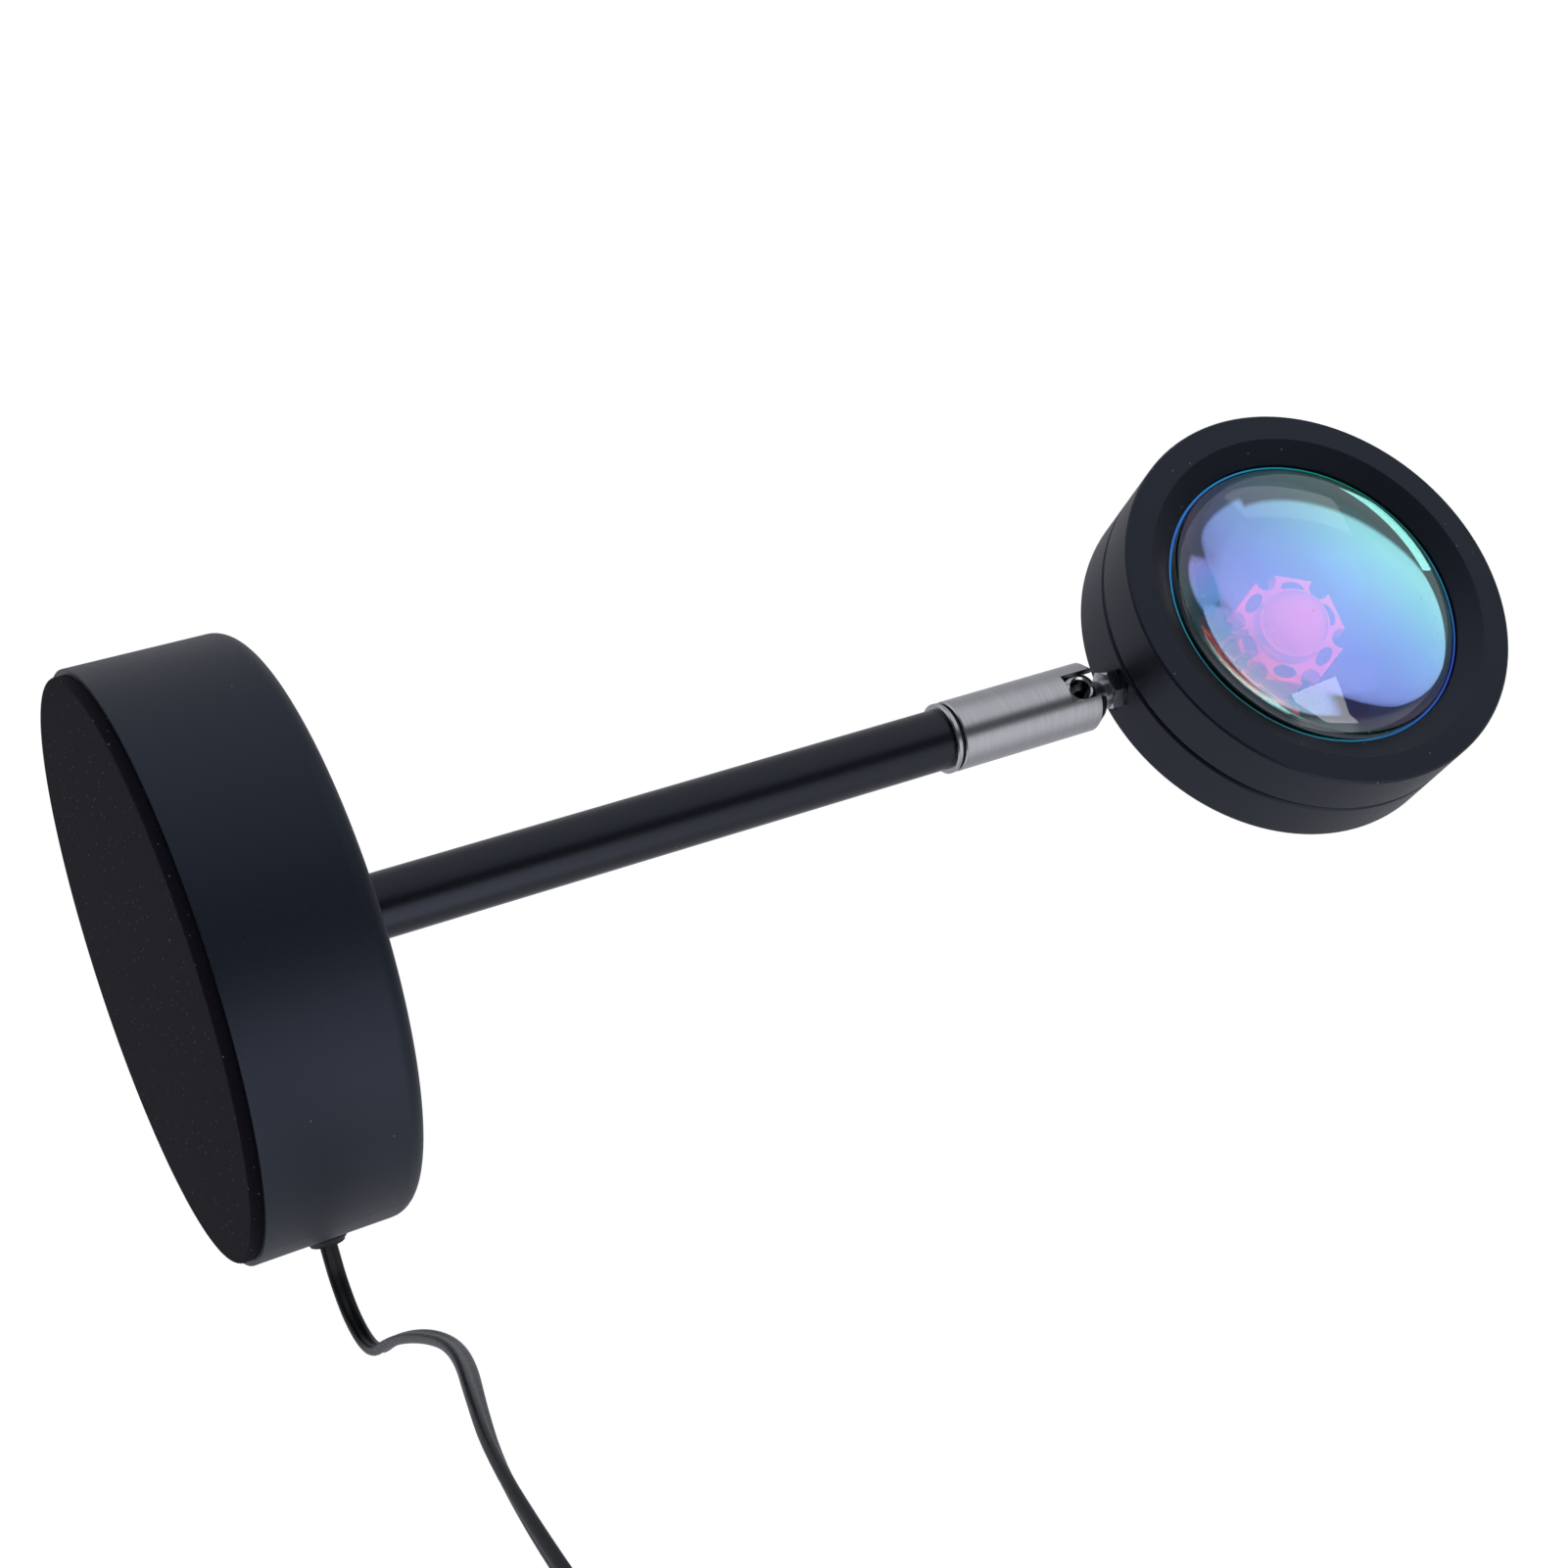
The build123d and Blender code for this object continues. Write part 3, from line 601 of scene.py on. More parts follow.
@dataclass(frozen=True)
class StarBoard:
    """White solder mask on aluminium: pale and even, with a bare grey oval solder pad in each lobe.

    Fields:
        name: common name and how the surface was made.
        mask: colour of the solder mask.
        pad: colour of a solder pad.
        lobes: lobes of the star.
        out_mm: from the board's middle to a pad's.
        radial_mm: half a pad along the radius.
        across_mm: half a pad across it.
        edge: shares of a pad's half width between which its edge blurs.
        roughness: a low gloss.
    """

    name: str = "white solder mask on aluminium"
    mask: str = "#f3dfe0"
    pad: str = "#3a3c46"
    lobes: int = 6
    out_mm: float = 7.7
    radial_mm: float = 1.15
    across_mm: float = 2.1
    edge: tuple[float, float] = (0.922, 1.049)
    roughness: float = 0.4

    def build(self) -> bpy.types.Material:
        """Make the material.

        Returns:
            The material.
        """
        material, tree = new_tree(self.name)
        place = add_node(tree, "ShaderNodeTexCoord").outputs["Object"]
        offset = add_node(tree, "ShaderNodeVectorMath", {0: place, 1: HEAD_MIDDLE}, operation="SUBTRACT")
        parts = add_node(tree, "ShaderNodeSeparateXYZ", {"Vector": offset}).outputs
        angle = add_node(tree, "ShaderNodeMath", {0: parts["Z"], 1: parts["X"]}, operation="ARCTAN2")
        # Each lobe is turned back until its middle lies along X.
        lobe = 2 * math.pi / self.lobes
        start = add_node(tree, "ShaderNodeMath", {0: angle, 1: lobe}, operation="SNAP")
        middle = add_node(tree, "ShaderNodeMath", {0: start, 1: lobe / 2}, operation="ADD")
        turned = add_node(
            tree, "ShaderNodeVectorRotate", {"Vector": offset, "Angle": middle}, rotation_type="Y_AXIS"
        )
        scale = (1 / (self.radial_mm * MM), 0.0, 1 / (self.across_mm * MM))
        shift = (-self.out_mm / self.radial_mm, 0.0, 0.0)
        oval = add_node(
            tree, "ShaderNodeVectorMath", {0: turned, 1: scale, 2: shift}, operation="MULTIPLY_ADD"
        )
        reach = add_node(tree, "ShaderNodeVectorMath", {0: oval}, operation="LENGTH")
        edge = add_node(
            tree, "ShaderNodeMapRange", {"Value": reach, "From Min": self.edge[0], "From Max": self.edge[1]}
        )
        colour = add_node(
            tree,
            "ShaderNodeMix",
            {"Factor": edge, COLOUR_A: linear(self.pad), COLOUR_B: linear(self.mask)},
            data_type="RGBA",
        )
        shader = add_node(
            tree, "ShaderNodeBsdfPrincipled", {"Base Color": colour, "Roughness": self.roughness}
        )
        add_node(tree, "ShaderNodeOutputMaterial", {"Surface": shader})
        return material


@dataclass(frozen=True)
class PaintedEdgeReflection:
    """Thin bright line round the lens, a painted reflection: the colours that the filter shows in the lens's
    edge, set round it.

    Fields:
        name: common name and how the surface was made.
        colours: painted reflection colours, from the left over the top to the right and back along the
            bottom.
        roughness: that of a finely ground edge.
    """

    name: str = "painted filter reflection on the lens edge"
    colours: tuple[tuple[float, str], ...] = (
        (0.0, "#2a9aa4"),
        (0.12, "#3c6cc4"),
        (0.25, "#2a8cb0"),
        (0.36, "#18906c"),
        (0.5, "#2a8ca0"),
        (0.62, "#3a4cb4"),
        (0.75, "#2a6ca0"),
        (0.9, "#2a9c98"),
        (1.0, "#2a9aa4"),
    )
    roughness: float = 0.25

    def build(self) -> bpy.types.Material:
        """Make the material.

        Returns:
            The material.
        """
        material, tree = new_tree(self.name)
        place = add_node(tree, "ShaderNodeTexCoord").outputs["Object"]
        offset = add_node(tree, "ShaderNodeVectorMath", {0: place, 1: HEAD_MIDDLE}, operation="SUBTRACT")
        parts = add_node(tree, "ShaderNodeSeparateXYZ", {"Vector": offset}).outputs
        angle = add_node(tree, "ShaderNodeMath", {0: parts["X"], 1: parts["Z"]}, operation="ARCTAN2")
        turn = add_node(
            tree, "ShaderNodeMapRange", {"Value": angle, "From Min": -math.pi, "From Max": math.pi}
        )
        # Each angle round the lens takes the colour of the painted reflection there.
        colour = add_node(tree, "ShaderNodeValToRGB", {"Fac": turn})
        set_ramp(colour, self.colours)
        shader = add_node(
            tree,
            "ShaderNodeBsdfPrincipled",
            {"Base Color": colour, "Metallic": 1.0, "Roughness": self.roughness},
        )
        add_node(tree, "ShaderNodeOutputMaterial", {"Surface": shader})
        return material


AnyFinish = Finish | BrushedNickel | PadFoam | ColourFilter | StarBoard


@dataclass
class Viewpoint:
    """Camera fitted to the outlines in the photograph.

    Fields:
        place: the camera's position.
        right: direction of the picture's right.
        down: direction of the picture's lower edge.
        view: direction that the camera looks in.
        lens_mm: focal length.
        sensor_mm: width of the sensor.
        shift_up: upward shift of the frame, in frame widths.
        nearest: distance from which it sees things.
    """

    place: Triple = (144.66 * MM, -380.508 * MM, -63.64 * MM)
    right: Triple = (0.40822, -0.27611, 0.87013)
    down: Triple = (0.88266, 0.36262, -0.29903)
    view: Triple = (-0.23296, 0.8901, 0.39174)
    lens_mm: float = 53.922
    sensor_mm: float = 36.0
    shift_up: float = 0.1558
    nearest: float = 0.01

    def build(self) -> None:
        """Make the scene's camera."""
        data = bpy.data.cameras.new("viewpoint")
        data.lens = self.lens_mm
        data.sensor_width = self.sensor_mm
        data.shift_y = self.shift_up
        data.clip_start = self.nearest
        camera = bpy.data.objects.new("viewpoint", data)
        bpy.context.scene.collection.objects.link(camera)
        turn = Matrix((Vector(self.right), -Vector(self.down), -Vector(self.view))).transposed()
        camera.matrix_world = Matrix.Translation(self.place) @ turn.to_4x4()
        bpy.context.scene.camera = camera


@dataclass
class SoftBox:
    """One soft studio lamp.

    Fields:
        name: the lamp's name.
        place: where it stands.
        aim: point that it faces.
        size: width and height.
        power: watts.
        in_filter: seen in the colour filter, through the lens, and not on its surface.
    """

    name: str
    place: Triple
    aim: Triple
    size: tuple[float, float]
    power: float
    in_filter: bool = False

    def build(self, lit: bpy.types.Collection) -> None:
        """Make the lamp.

        Args:
            lit: what a lamp that isn't for the filter shines on.
        """
        data = bpy.data.lights.new(self.name, "AREA")
        data.shape = "RECTANGLE"
        data.size, data.size_y = self.size
        data.energy = self.power
        lamp = bpy.data.objects.new(self.name, data)
        bpy.context.scene.collection.objects.link(lamp)
        lamp.location = self.place
        lamp.rotation_euler = (Vector(self.aim) - Vector(self.place)).to_track_quat("-Z", "Y").to_euler()
        lamp.visible_transmission = self.in_filter
        lamp.visible_glossy = not self.in_filter
        if not self.in_filter:
            lamp.light_linking.receiver_collection = lit


@dataclass(frozen=True)
class Patch:
    """Part of the surroundings that lies inside every one of a few cones of directions.

    Fields:
        cones: each cone's axis, and the degrees from it at which the patch ends and is full.
    """

    cones: tuple[tuple[Triple, float, float], ...]

    def build(self, tree: bpy.types.NodeTree) -> bpy.types.Node:
        """Add the patch to the surroundings' nodes.

        Args:
            tree: node tree of the surroundings.

        Returns:
            Node that gives 0 outside the patch, rising to 1 inside it.
        """
        way = add_node(tree, "ShaderNodeTexCoord").outputs["Generated"]
        inside: bpy.types.Node | None = None
        for axis, ends, full in self.cones:
            along = add_node(
                tree, "ShaderNodeVectorMath", {0: way, 1: Vector(axis).normalized()}, operation="DOT_PRODUCT"
            )
            cone = add_node(
                tree,
                "ShaderNodeMapRange",
                {
                    "Value": along,
                    "From Min": math.cos(math.radians(ends)),
                    "From Max": math.cos(math.radians(full)),
                },
                interpolation_type="SMOOTHSTEP",
            )
            if inside is not None:
                cone = add_node(tree, "ShaderNodeMath", {0: inside, 1: cone}, operation="MULTIPLY")
            inside = cone
        return inside


UP: Triple = (0.0, 0.0, 1.0)
DOWN: Triple = (0.0, 0.0, -1.0)
LEFT: Triple = (-1.0, 0.0, 0.0)


@dataclass
class Studio:
    """White surroundings, soft lamps and a pale floor that is clear from below.

    Fields:
        floor_radius: radius of the floor.
        floor_sides: sides of its outline.
        floor_drop: how far it lies under the pad.
        floor_colour: its colour.
        floor_clear: how clear it is near the lamp, so that the white surroundings show through.
        floor_fade: distances between which it fades out.
        floor_under: radius under the base inside which light still comes through to the pad.
        ambient: light on dull surfaces.
        shade: colour of that light, a little cold.
        mirror_light: what plain mirrors meet all round.
        mirror_back: what they meet behind the lamp.
        mirror_dark: what they meet on the dark side.
        dark_side: dark round the camera.
        dark_slot: upright dark slot between the lamps, a dark streak on round things.
        behind: all that lies behind the lamp.
        fill: low reflector beside the camera, which lights the lower half of the base.
        fill_light: its light.
        disc: round reflector that the colour filter shows through the lens.
        disc_cap: straight upper end of that reflector.
        disc_turn: where the reflector goes from its dimmer side to its brighter one.
        disc_light: its light at the two sides.
        disc_dim: what the filter shows round it.
        inside: light that reaches the board through the lens.
        overhead: where light comes from that the lens throws back on the filter.
        far_side: where more of it comes from.
        beside: where the last of it comes from, which isn't reddened.
        haze: colour of that light after some more mirrors.
        haze_light: its strength after them.
        haze_near: its strength before them.
        thrown_back: mirrors met from which light counts as thrown back, and as thrown back more than once.
        bounces: how often light may turn, because it is thrown to and fro inside the lens.
        mirror_bounces: how often in mirrors.
        lamps: soft lamps that show in the lens.
    """

    floor_radius: float = 3.0
    floor_sides: int = 96
    floor_drop: float = 0.3 * MM
    floor_colour: str = "#fafafa"
    floor_clear: float = 0.25
    floor_fade: tuple[float, float] = (0.35, 2.4)
    floor_under: float = 52.2 * MM
    ambient: float = 0.6
    shade: str = "#f4f7ff"
    mirror_light: float = 1.0
    mirror_back: float = 0.6
    mirror_dark: float = 0.12
    dark_side: Patch = Patch((((0.284, -0.747, -0.602), 60.0, 44.0),))
    dark_slot: Patch = Patch(
        (
            ((0.935, 0.355, 0.0), 114.0, 94.0),
            ((-0.935, -0.355, 0.0), 116.0, 100.0),
            ((0.355, -0.935, 0.0), 84.3, 72.5),
        )
    )
    behind: Patch = Patch((((-0.284, 0.747, 0.602), 95.7, 60.0),))
    fill: Patch = Patch((((0.931, -0.339, 0.139), 32.0, 18.0), (DOWN, 113.6, 106.3)))
    fill_light: float = 2.4
    disc: Patch = Patch((((-0.492, -0.606, 0.625), 36.1, 34.1),))
    disc_cap: Patch = Patch(((UP, 48.0, 46.0), (LEFT, 99.5, 97.2)))
    disc_turn: Patch = Patch(((LEFT, 95.7, 75.5),))
    disc_light: tuple[float, float] = (0.76, 1.06)
    disc_dim: float = 0.1
    inside: float = 1.0
    overhead: Patch = Patch(((UP, 53.1, 51.0),))
    far_side: Patch = Patch((((-0.625, 0.0, 0.781), 75.5, 73.4), (UP, 87.1, 81.4)))
    beside: Patch = Patch((((0.4, -0.64, 0.65), 15.2, 7.4),))
    haze: str = "#ffc6c4"
    haze_light: float = 1.9
    haze_near: float = 0.9
    thrown_back: tuple[int, int] = (3, 4)
    bounces: int = 20
    mirror_bounces: int = 10
    lamps: list[SoftBox] = field(
        default_factory=lambda: [
            SoftBox("window", (-0.92, -0.55, 1.085), (0.0, 0.0, 0.245), (0.36, 0.72), 0.75),
            SoftBox("front", (0.645, -1.03, 0.526), (0.0, 0.0, 0.245), (0.75, 0.42), 5.4),
            SoftBox("bar", (-0.036, -1.2, 0.214), (0.0, 0.0, 0.245), (0.65, 0.44), 1.1, in_filter=True),
        ]
    )

    def build(self, lens: bpy.types.Object) -> None:
        """Make the surroundings.

        Args:
            lens: piece that mirrors the lamps.
        """
        scene = bpy.context.scene
        scene.view_settings.view_transform = "Standard"
        scene.cycles.max_bounces = self.bounces
        scene.cycles.glossy_bounces = self.mirror_bounces
        scene.cycles.transmission_bounces = self.bounces
        self.surround()
        self.floor()
        lit = bpy.data.collections.new("lens alone")
        lit.objects.link(lens)
        for lamp in self.lamps:
            lamp.build(lit)

    def mirrored(self, tree: bpy.types.NodeTree) -> bpy.types.Node:
        """Work out what plain mirrors meet: uneven, as a studio is.

        Args:
            tree: node tree of the surroundings.

        Returns:
            Node that gives the light's strength.
        """
        lit = add_node(
            tree,
            "ShaderNodeMix",
            {"Factor": self.behind.build(tree), VALUE_A: self.mirror_light, VALUE_B: self.mirror_back},
        )
        dark = add_node(
            tree,
            "ShaderNodeMath",
            {0: self.dark_side.build(tree), 1: self.dark_slot.build(tree)},
            operation="MAXIMUM",
        )
        shaded = add_node(tree, "ShaderNodeMix", {"Factor": dark, VALUE_A: lit, VALUE_B: self.mirror_dark})
        fill = self.fill.build(tree)
        return add_node(tree, "ShaderNodeMix", {"Factor": fill, VALUE_A: shaded, VALUE_B: self.fill_light})

    def thrown(
        self, tree: bpy.types.NodeTree, mirrors: bpy.types.NodeSocket
    ) -> tuple[bpy.types.Node, bpy.types.Node, bpy.types.Node]:
        """Work out the light that the lens throws back on the filter.

        It has met an odd number of mirrors, or an even one once the front ring has mirrored it too.

        Args:
            tree: node tree of the surroundings.
            mirrors: how many mirrors the light has met.

        Returns:
            Nodes that tell whether light is thrown back, how far a direction gives haze, and how far that
            haze is reddened.
        """
        again, deep = (
            add_node(tree, "ShaderNodeMath", {0: mirrors, 1: count - 0.5}, operation="GREATER_THAN")
            for count in self.thrown_back
        )
        odd = add_node(tree, "ShaderNodeMath", {0: mirrors, 1: 2.0}, operation="MODULO")
        above = add_node(
            tree,
            "ShaderNodeMath",
            {0: self.overhead.build(tree), 1: self.far_side.build(tree)},
            operation="MAXIMUM",
        )
        above = add_node(tree, "ShaderNodeMath", {0: odd, 1: above}, operation="MULTIPLY")
        beside = self.beside.build(tree)
        hazy = add_node(tree, "ShaderNodeMath", {0: above, 1: beside}, operation="MAXIMUM")
        hazy = add_node(tree, "ShaderNodeMath", {0: hazy, 1: again}, operation="MULTIPLY")
        red = add_node(tree, "ShaderNodeMath", {0: deep, 1: beside}, operation="SUBTRACT", use_clamp=True)
        return again, hazy, red

    def surround(self) -> None:
        """Light from all round: white to the eye, dimmer as light, and uneven in mirrors."""
        world = bpy.data.worlds.new("white surroundings")
        bpy.context.scene.world = world
        world.use_nodes = True
        tree = world.node_tree
        tree.nodes.clear()
        path = add_node(tree, "ShaderNodeLightPath").outputs
        again, hazy, red = self.thrown(tree, path["Glossy Depth"])
        # In the colour filter, through the lens: a large round reflector, and haze from light thrown back.
        disc = add_node(
            tree,
            "ShaderNodeMath",
            {0: self.disc.build(tree), 1: self.disc_cap.build(tree)},
            operation="MAXIMUM",
        )
        once = add_node(tree, "ShaderNodeMix", {"Factor": again, VALUE_A: disc, VALUE_B: 0.0})
        dimmer, brighter = self.disc_light
        turn = self.disc_turn.build(tree)
        bright = add_node(tree, "ShaderNodeMix", {"Factor": turn, VALUE_A: dimmer, VALUE_B: brighter})
        haze = add_node(
            tree, "ShaderNodeMix", {"Factor": red, VALUE_A: self.haze_near, VALUE_B: self.haze_light}
        )
        on_board = add_node(
            tree, "ShaderNodeMath", {0: path["Diffuse Depth"], 1: 0.5}, operation="GREATER_THAN"
        )
        filtered = self.disc_dim
        for part, light in ((once, bright), (hazy, haze), (on_board, self.inside)):
            filtered = add_node(tree, "ShaderNodeMix", {"Factor": part, VALUE_A: filtered, VALUE_B: light})
        strength = self.ambient
        for ray, light in (
            ("Is Glossy Ray", self.mirrored(tree)),
            ("Is Transmission Ray", filtered),
            ("Is Camera Ray", 1.0),
        ):
            inputs = {"Factor": path[ray], VALUE_A: strength, VALUE_B: light}
            strength = add_node(tree, "ShaderNodeMix", inputs)
        veil = path["Is Transmission Ray"]
        for part in (hazy, red):
            veil = add_node(tree, "ShaderNodeMath", {0: veil, 1: part}, operation="MULTIPLY")
        colour = linear(self.shade)
        for part, tone in ((veil, self.haze), (path["Is Camera Ray"], "#ffffff")):
            inputs = {"Factor": part, COLOUR_A: colour, COLOUR_B: linear(tone)}
            colour = add_node(tree, "ShaderNodeMix", inputs, data_type="RGBA")
        glow = add_node(tree, "ShaderNodeBackground", {"Color": colour, "Strength": strength})
        add_node(tree, "ShaderNodeOutputWorld", {"Surface": glow})

    def floor(self) -> None:
        """Make the pale floor, which rays from below pass through and which fades out far away."""
        shape = bmesh.new()
        bmesh.ops.create_circle(shape, cap_ends=True, segments=self.floor_sides, radius=self.floor_radius)
        bmesh.ops.translate(shape, vec=(0.0, 0.0, -self.floor_drop), verts=list(shape.verts))
        mesh = bpy.data.meshes.new("floor")
        shape.to_mesh(mesh)
        shape.free()
        floor = bpy.data.objects.new("floor", mesh)
        bpy.context.scene.collection.objects.link(floor)
        material, tree = new_tree("pale studio floor")
        path = add_node(tree, "ShaderNodeLightPath").outputs
        place = add_node(tree, "ShaderNodeTexCoord").outputs["Object"]
        away = add_node(tree, "ShaderNodeVectorMath", {0: place}, operation="LENGTH")
        open_way = add_node(
            tree,
            "ShaderNodeMapRange",
            {
                "Value": away,
                "From Min": self.floor_fade[0],
                "From Max": self.floor_fade[1],
                "To Min": self.floor_clear,
                "To Max": 1.0,
            },
        )
        # The pad under the base still gets its light through the floor.
        under = add_node(tree, "ShaderNodeMath", {0: away, 1: self.floor_under}, operation="LESS_THAN")
        unseen = add_node(tree, "ShaderNodeMath", {0: under, 1: path["Is Camera Ray"]}, operation="SUBTRACT")
        from_below = add_node(tree, "ShaderNodeNewGeometry").outputs["Backfacing"]
        for part in (unseen, from_below, path["Is Glossy Ray"]):
            open_way = add_node(tree, "ShaderNodeMath", {0: open_way, 1: part}, operation="MAXIMUM")
        pale = add_node(tree, "ShaderNodeBsdfDiffuse", {"Color": linear(self.floor_colour)})
        clear = add_node(tree, "ShaderNodeBsdfTransparent")
        both = add_node(tree, "ShaderNodeMixShader", {"Fac": open_way, 1: pale, 2: clear})
        add_node(tree, "ShaderNodeOutputMaterial", {"Surface": both})
        dress(floor, material)


@dataclass
class Cord:
    """Light twin lead, in millimetres: out of the base, down to the floor and along it to a coil and a plug.

    Fields:
        route: control points from the grommet to the coil.
        leaves: where it comes out of the base.
        middle: axis of the coil on the floor.
        turn: angle of the coil's start, in degrees.
        outer: radius of its outermost turn.
        pitch: from one turn to the next.
        turns: turns in each layer.
        climb: turns in which it goes from the lower layer to the upper one.
        per_turn: control points in one turn.
        low: height of the lower layer.
        layer: height from one layer to the next.
        width: across both cores.
        core: thickness of one core.
        waist: degrees round a core, from its outermost line, at which the web to the other core starts.
        core_steps: steps round one core.
        length: length of the whole cord, in metres.
        upright: number of the last control point where the cores lie one above the other.
        laid: number of the first one where they lie side by side.
        plug_axis: height of the plug's middle.
        plug_run: from the coil's end to the plug.
        lead_in: steps into the plug, each as a share of the run and a share of the rise.
        tie_turn: degrees from the coil's start to the tie.
        tie_half: half the tie's width.
        tie_round: radius of its edges, half its thickness.
        tie_room: from the coil's sides to the tie.
        tie_over: from the coil's top to the tie.
        tie_bottom: height of the tie's lower run.
    """

    route: list[Triple] = field(
        default_factory=lambda: [
            (46.33, 26.75, 18.0),
            (50.3, 29.05, 18.0),
            (54.13, 31.25, 18.0),
            (61.0, 32.4, 18.0),
            (67.2, 28.9, 18.0),
            (70.5, 22.0, 18.0),
            (71.8, 10.5, 18.0),
            (74.8, -5.0, 17.8),
            (79.5, -23.5, 17.1),
            (85.2, -42.5, 15.3),
            (91.8, -61.0, 11.8),
            (99.5, -78.5, 7.0),
            (109.5, -94.5, 2.6),
            (122.0, -107.5, 1.1),
            (135.5, -117.0, 1.7),
            (148.5, -124.5, 1.8),
        ]
    )
    leaves: Triple = (47.8, 27.6, 18.0)
    middle: tuple[float, float] = (165.278, -103.016)
    turn: float = -121.248
    outer: float = 27.0
    pitch: float = 3.75
    turns: int = 5
    climb: float = 0.5
    per_turn: int = 16
    low: float = 1.8
    layer: float = 2.1
    width: float = 3.2
    core: float = 1.75
    waist: float = 125.0
    core_steps: int = 9
    length: float = 1.36
    upright: int = 8
    laid: int = 13
    plug_axis: float = 3.9
    plug_run: float = 16.0
    lead_in: tuple[tuple[float, float], ...] = ((0.35, 0.3), (0.7, 0.85), (1.0, 1.0), (1.35, 1.0))
    tie_turn: float = 100.0
    tie_half: float = 2.2
    tie_round: float = 0.22
    tie_room: float = 0.9
    tie_over: float = 0.5
    tie_bottom: float = 0.45

    def coil_points(self) -> list[Triple]:
        """Wind the coil: in on the lower layer, up, and out on the upper one.

        Returns:
            Its control points.
        """
        points = []
        reverse = self.turns + self.climb / 2
        # A quadratic spline passes inside its control points by this share.
        swell = 1 / math.cos(math.pi / self.per_turn)
        for step in range(1, int(2 * reverse * self.per_turn) + 1):
            done = step / self.per_turn
            radius = (self.outer - self.pitch * (reverse - abs(done - reverse))) * swell
            risen = min(max((done - self.turns) / self.climb, 0.0), 1.0)
            angle = math.radians(self.turn) + 2 * math.pi * done
            height = self.low + self.layer * risen * risen * (3 - 2 * risen)
            points.append(
                (self.middle[0] + radius * math.cos(angle), self.middle[1] + radius * math.sin(angle), height)
            )
        return points

    def tail_points(self, last: Triple) -> list[Triple]:
        """Lead the cord from the coil's end into the plug.

        Args:
            last: the coil's last point.

        Returns:
            Its control points.
        """
        heading = math.radians(self.turn) + 2 * math.pi * (2 * self.turns + self.climb) + math.pi / 2
        return [
            (
                last[0] + math.cos(heading) * self.plug_run * share,
                last[1] + math.sin(heading) * self.plug_run * share,
                last[2] + (self.plug_axis - last[2]) * rise,
            )
            for share, rise in self.lead_in
        ]

    def spline(self) -> bpy.types.Curve:
        """Draw the cord's line as one smooth quadratic spline.

        Returns:
            The curve, without a section.
        """
        points = self.route + self.coil_points()
        points += self.tail_points(points[-1])
        curve = bpy.data.curves.new("cord_line", "CURVE")
        curve.dimensions = "3D"
        curve.twist_mode = "Z_UP"
        line = curve.splines.new("NURBS")
        line.points.add(len(points) - 1)
        for number, (spot, point) in enumerate(zip(line.points, points)):
            spot.co = (*(value * MM for value in point), 1.0)
            # The cores lie one above the other at the base and side by side on the floor.
            flat = min(max((number - self.upright) / (self.laid - self.upright), 0.0), 1.0)
            spot.tilt = math.pi / 2 * (1 - flat)
        line.order_u = 3
        line.use_endpoint_u = True
        line.resolution_u = 5
        return curve

    def section(self) -> bpy.types.Object:
        """Draw the outline of the two joined cores.

        Returns:
            A flat closed curve.
        """
        curve = bpy.data.curves.new("cord_section", "CURVE")
        line = curve.splines.new("POLY")
        half = self.core / 2
        out = self.width / 2 - half
        angles = [
            math.radians(self.waist * (2 * step / self.core_steps - 1)) for step in range(self.core_steps + 1)
        ]
        ring = [(out + half * math.cos(a), half * math.sin(a)) for a in angles]
        ring += [(-across, -up) for across, up in ring]
        line.points.add(len(ring) - 1)
        for spot, (across, up) in zip(line.points, ring):
            spot.co = (across * MM, up * MM, 0.0, 1.0)
        line.use_cyclic_u = True
        holder = bpy.data.objects.new("cord_section", curve)
        bpy.context.scene.collection.objects.link(holder)
        return holder

    def build(self, nodes: dict[str, bpy.types.Object]) -> None:
        """Make the cord and its tie, and dress the plug.

        Args:
            nodes: CAD nodes by name.
        """
        curve = self.spline()
        path = [vertex.co.copy() for vertex in mesh_from_curve(curve, "cord_path").vertices]
        outline = self.section()
        curve.bevel_mode = "OBJECT"
        curve.bevel_object = outline
        curve.use_fill_caps = True
        mesh = mesh_from_curve(curve, "twin_cord")
        bpy.data.objects.remove(outline)
        mesh.shade_smooth()
        cord = piece_from("twin_cord", mesh, Body.STAND.value, SHEATH.build())
        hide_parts("cord_run", "cord_coil")
        tie = self.tie()
        plug = [nodes[name] for name in ("plug_body", "plug_shell", "plug_tongue")]
        for thing, finish in zip(plug, (ABS, ZINC, CONTACTS)):
            dress(thing, finish.build())

    def tie(self) -> bpy.types.Object:
        """Bend the flat coated wire round the coil's bundle.

        Returns:
            The tie.
        """
        curve = bpy.data.curves.new("tie_line", "CURVE")
        curve.extrude = self.tie_half * MM
        curve.bevel_depth = self.tie_round * MM
        curve.bevel_resolution = 2
        curve.fill_mode = "NONE"
        line = curve.splines.new("NURBS")
        side = self.width / 2 + self.tie_room
        inner = self.outer - self.pitch * (self.turns + self.climb / 2) - side
        outer = self.outer + side
        bottom = self.tie_bottom
        top = self.low + self.layer + self.core / 2 + self.tie_over
        corners = [(inner, bottom), (inner, top), (outer, top), (outer, bottom)]
        loop = []
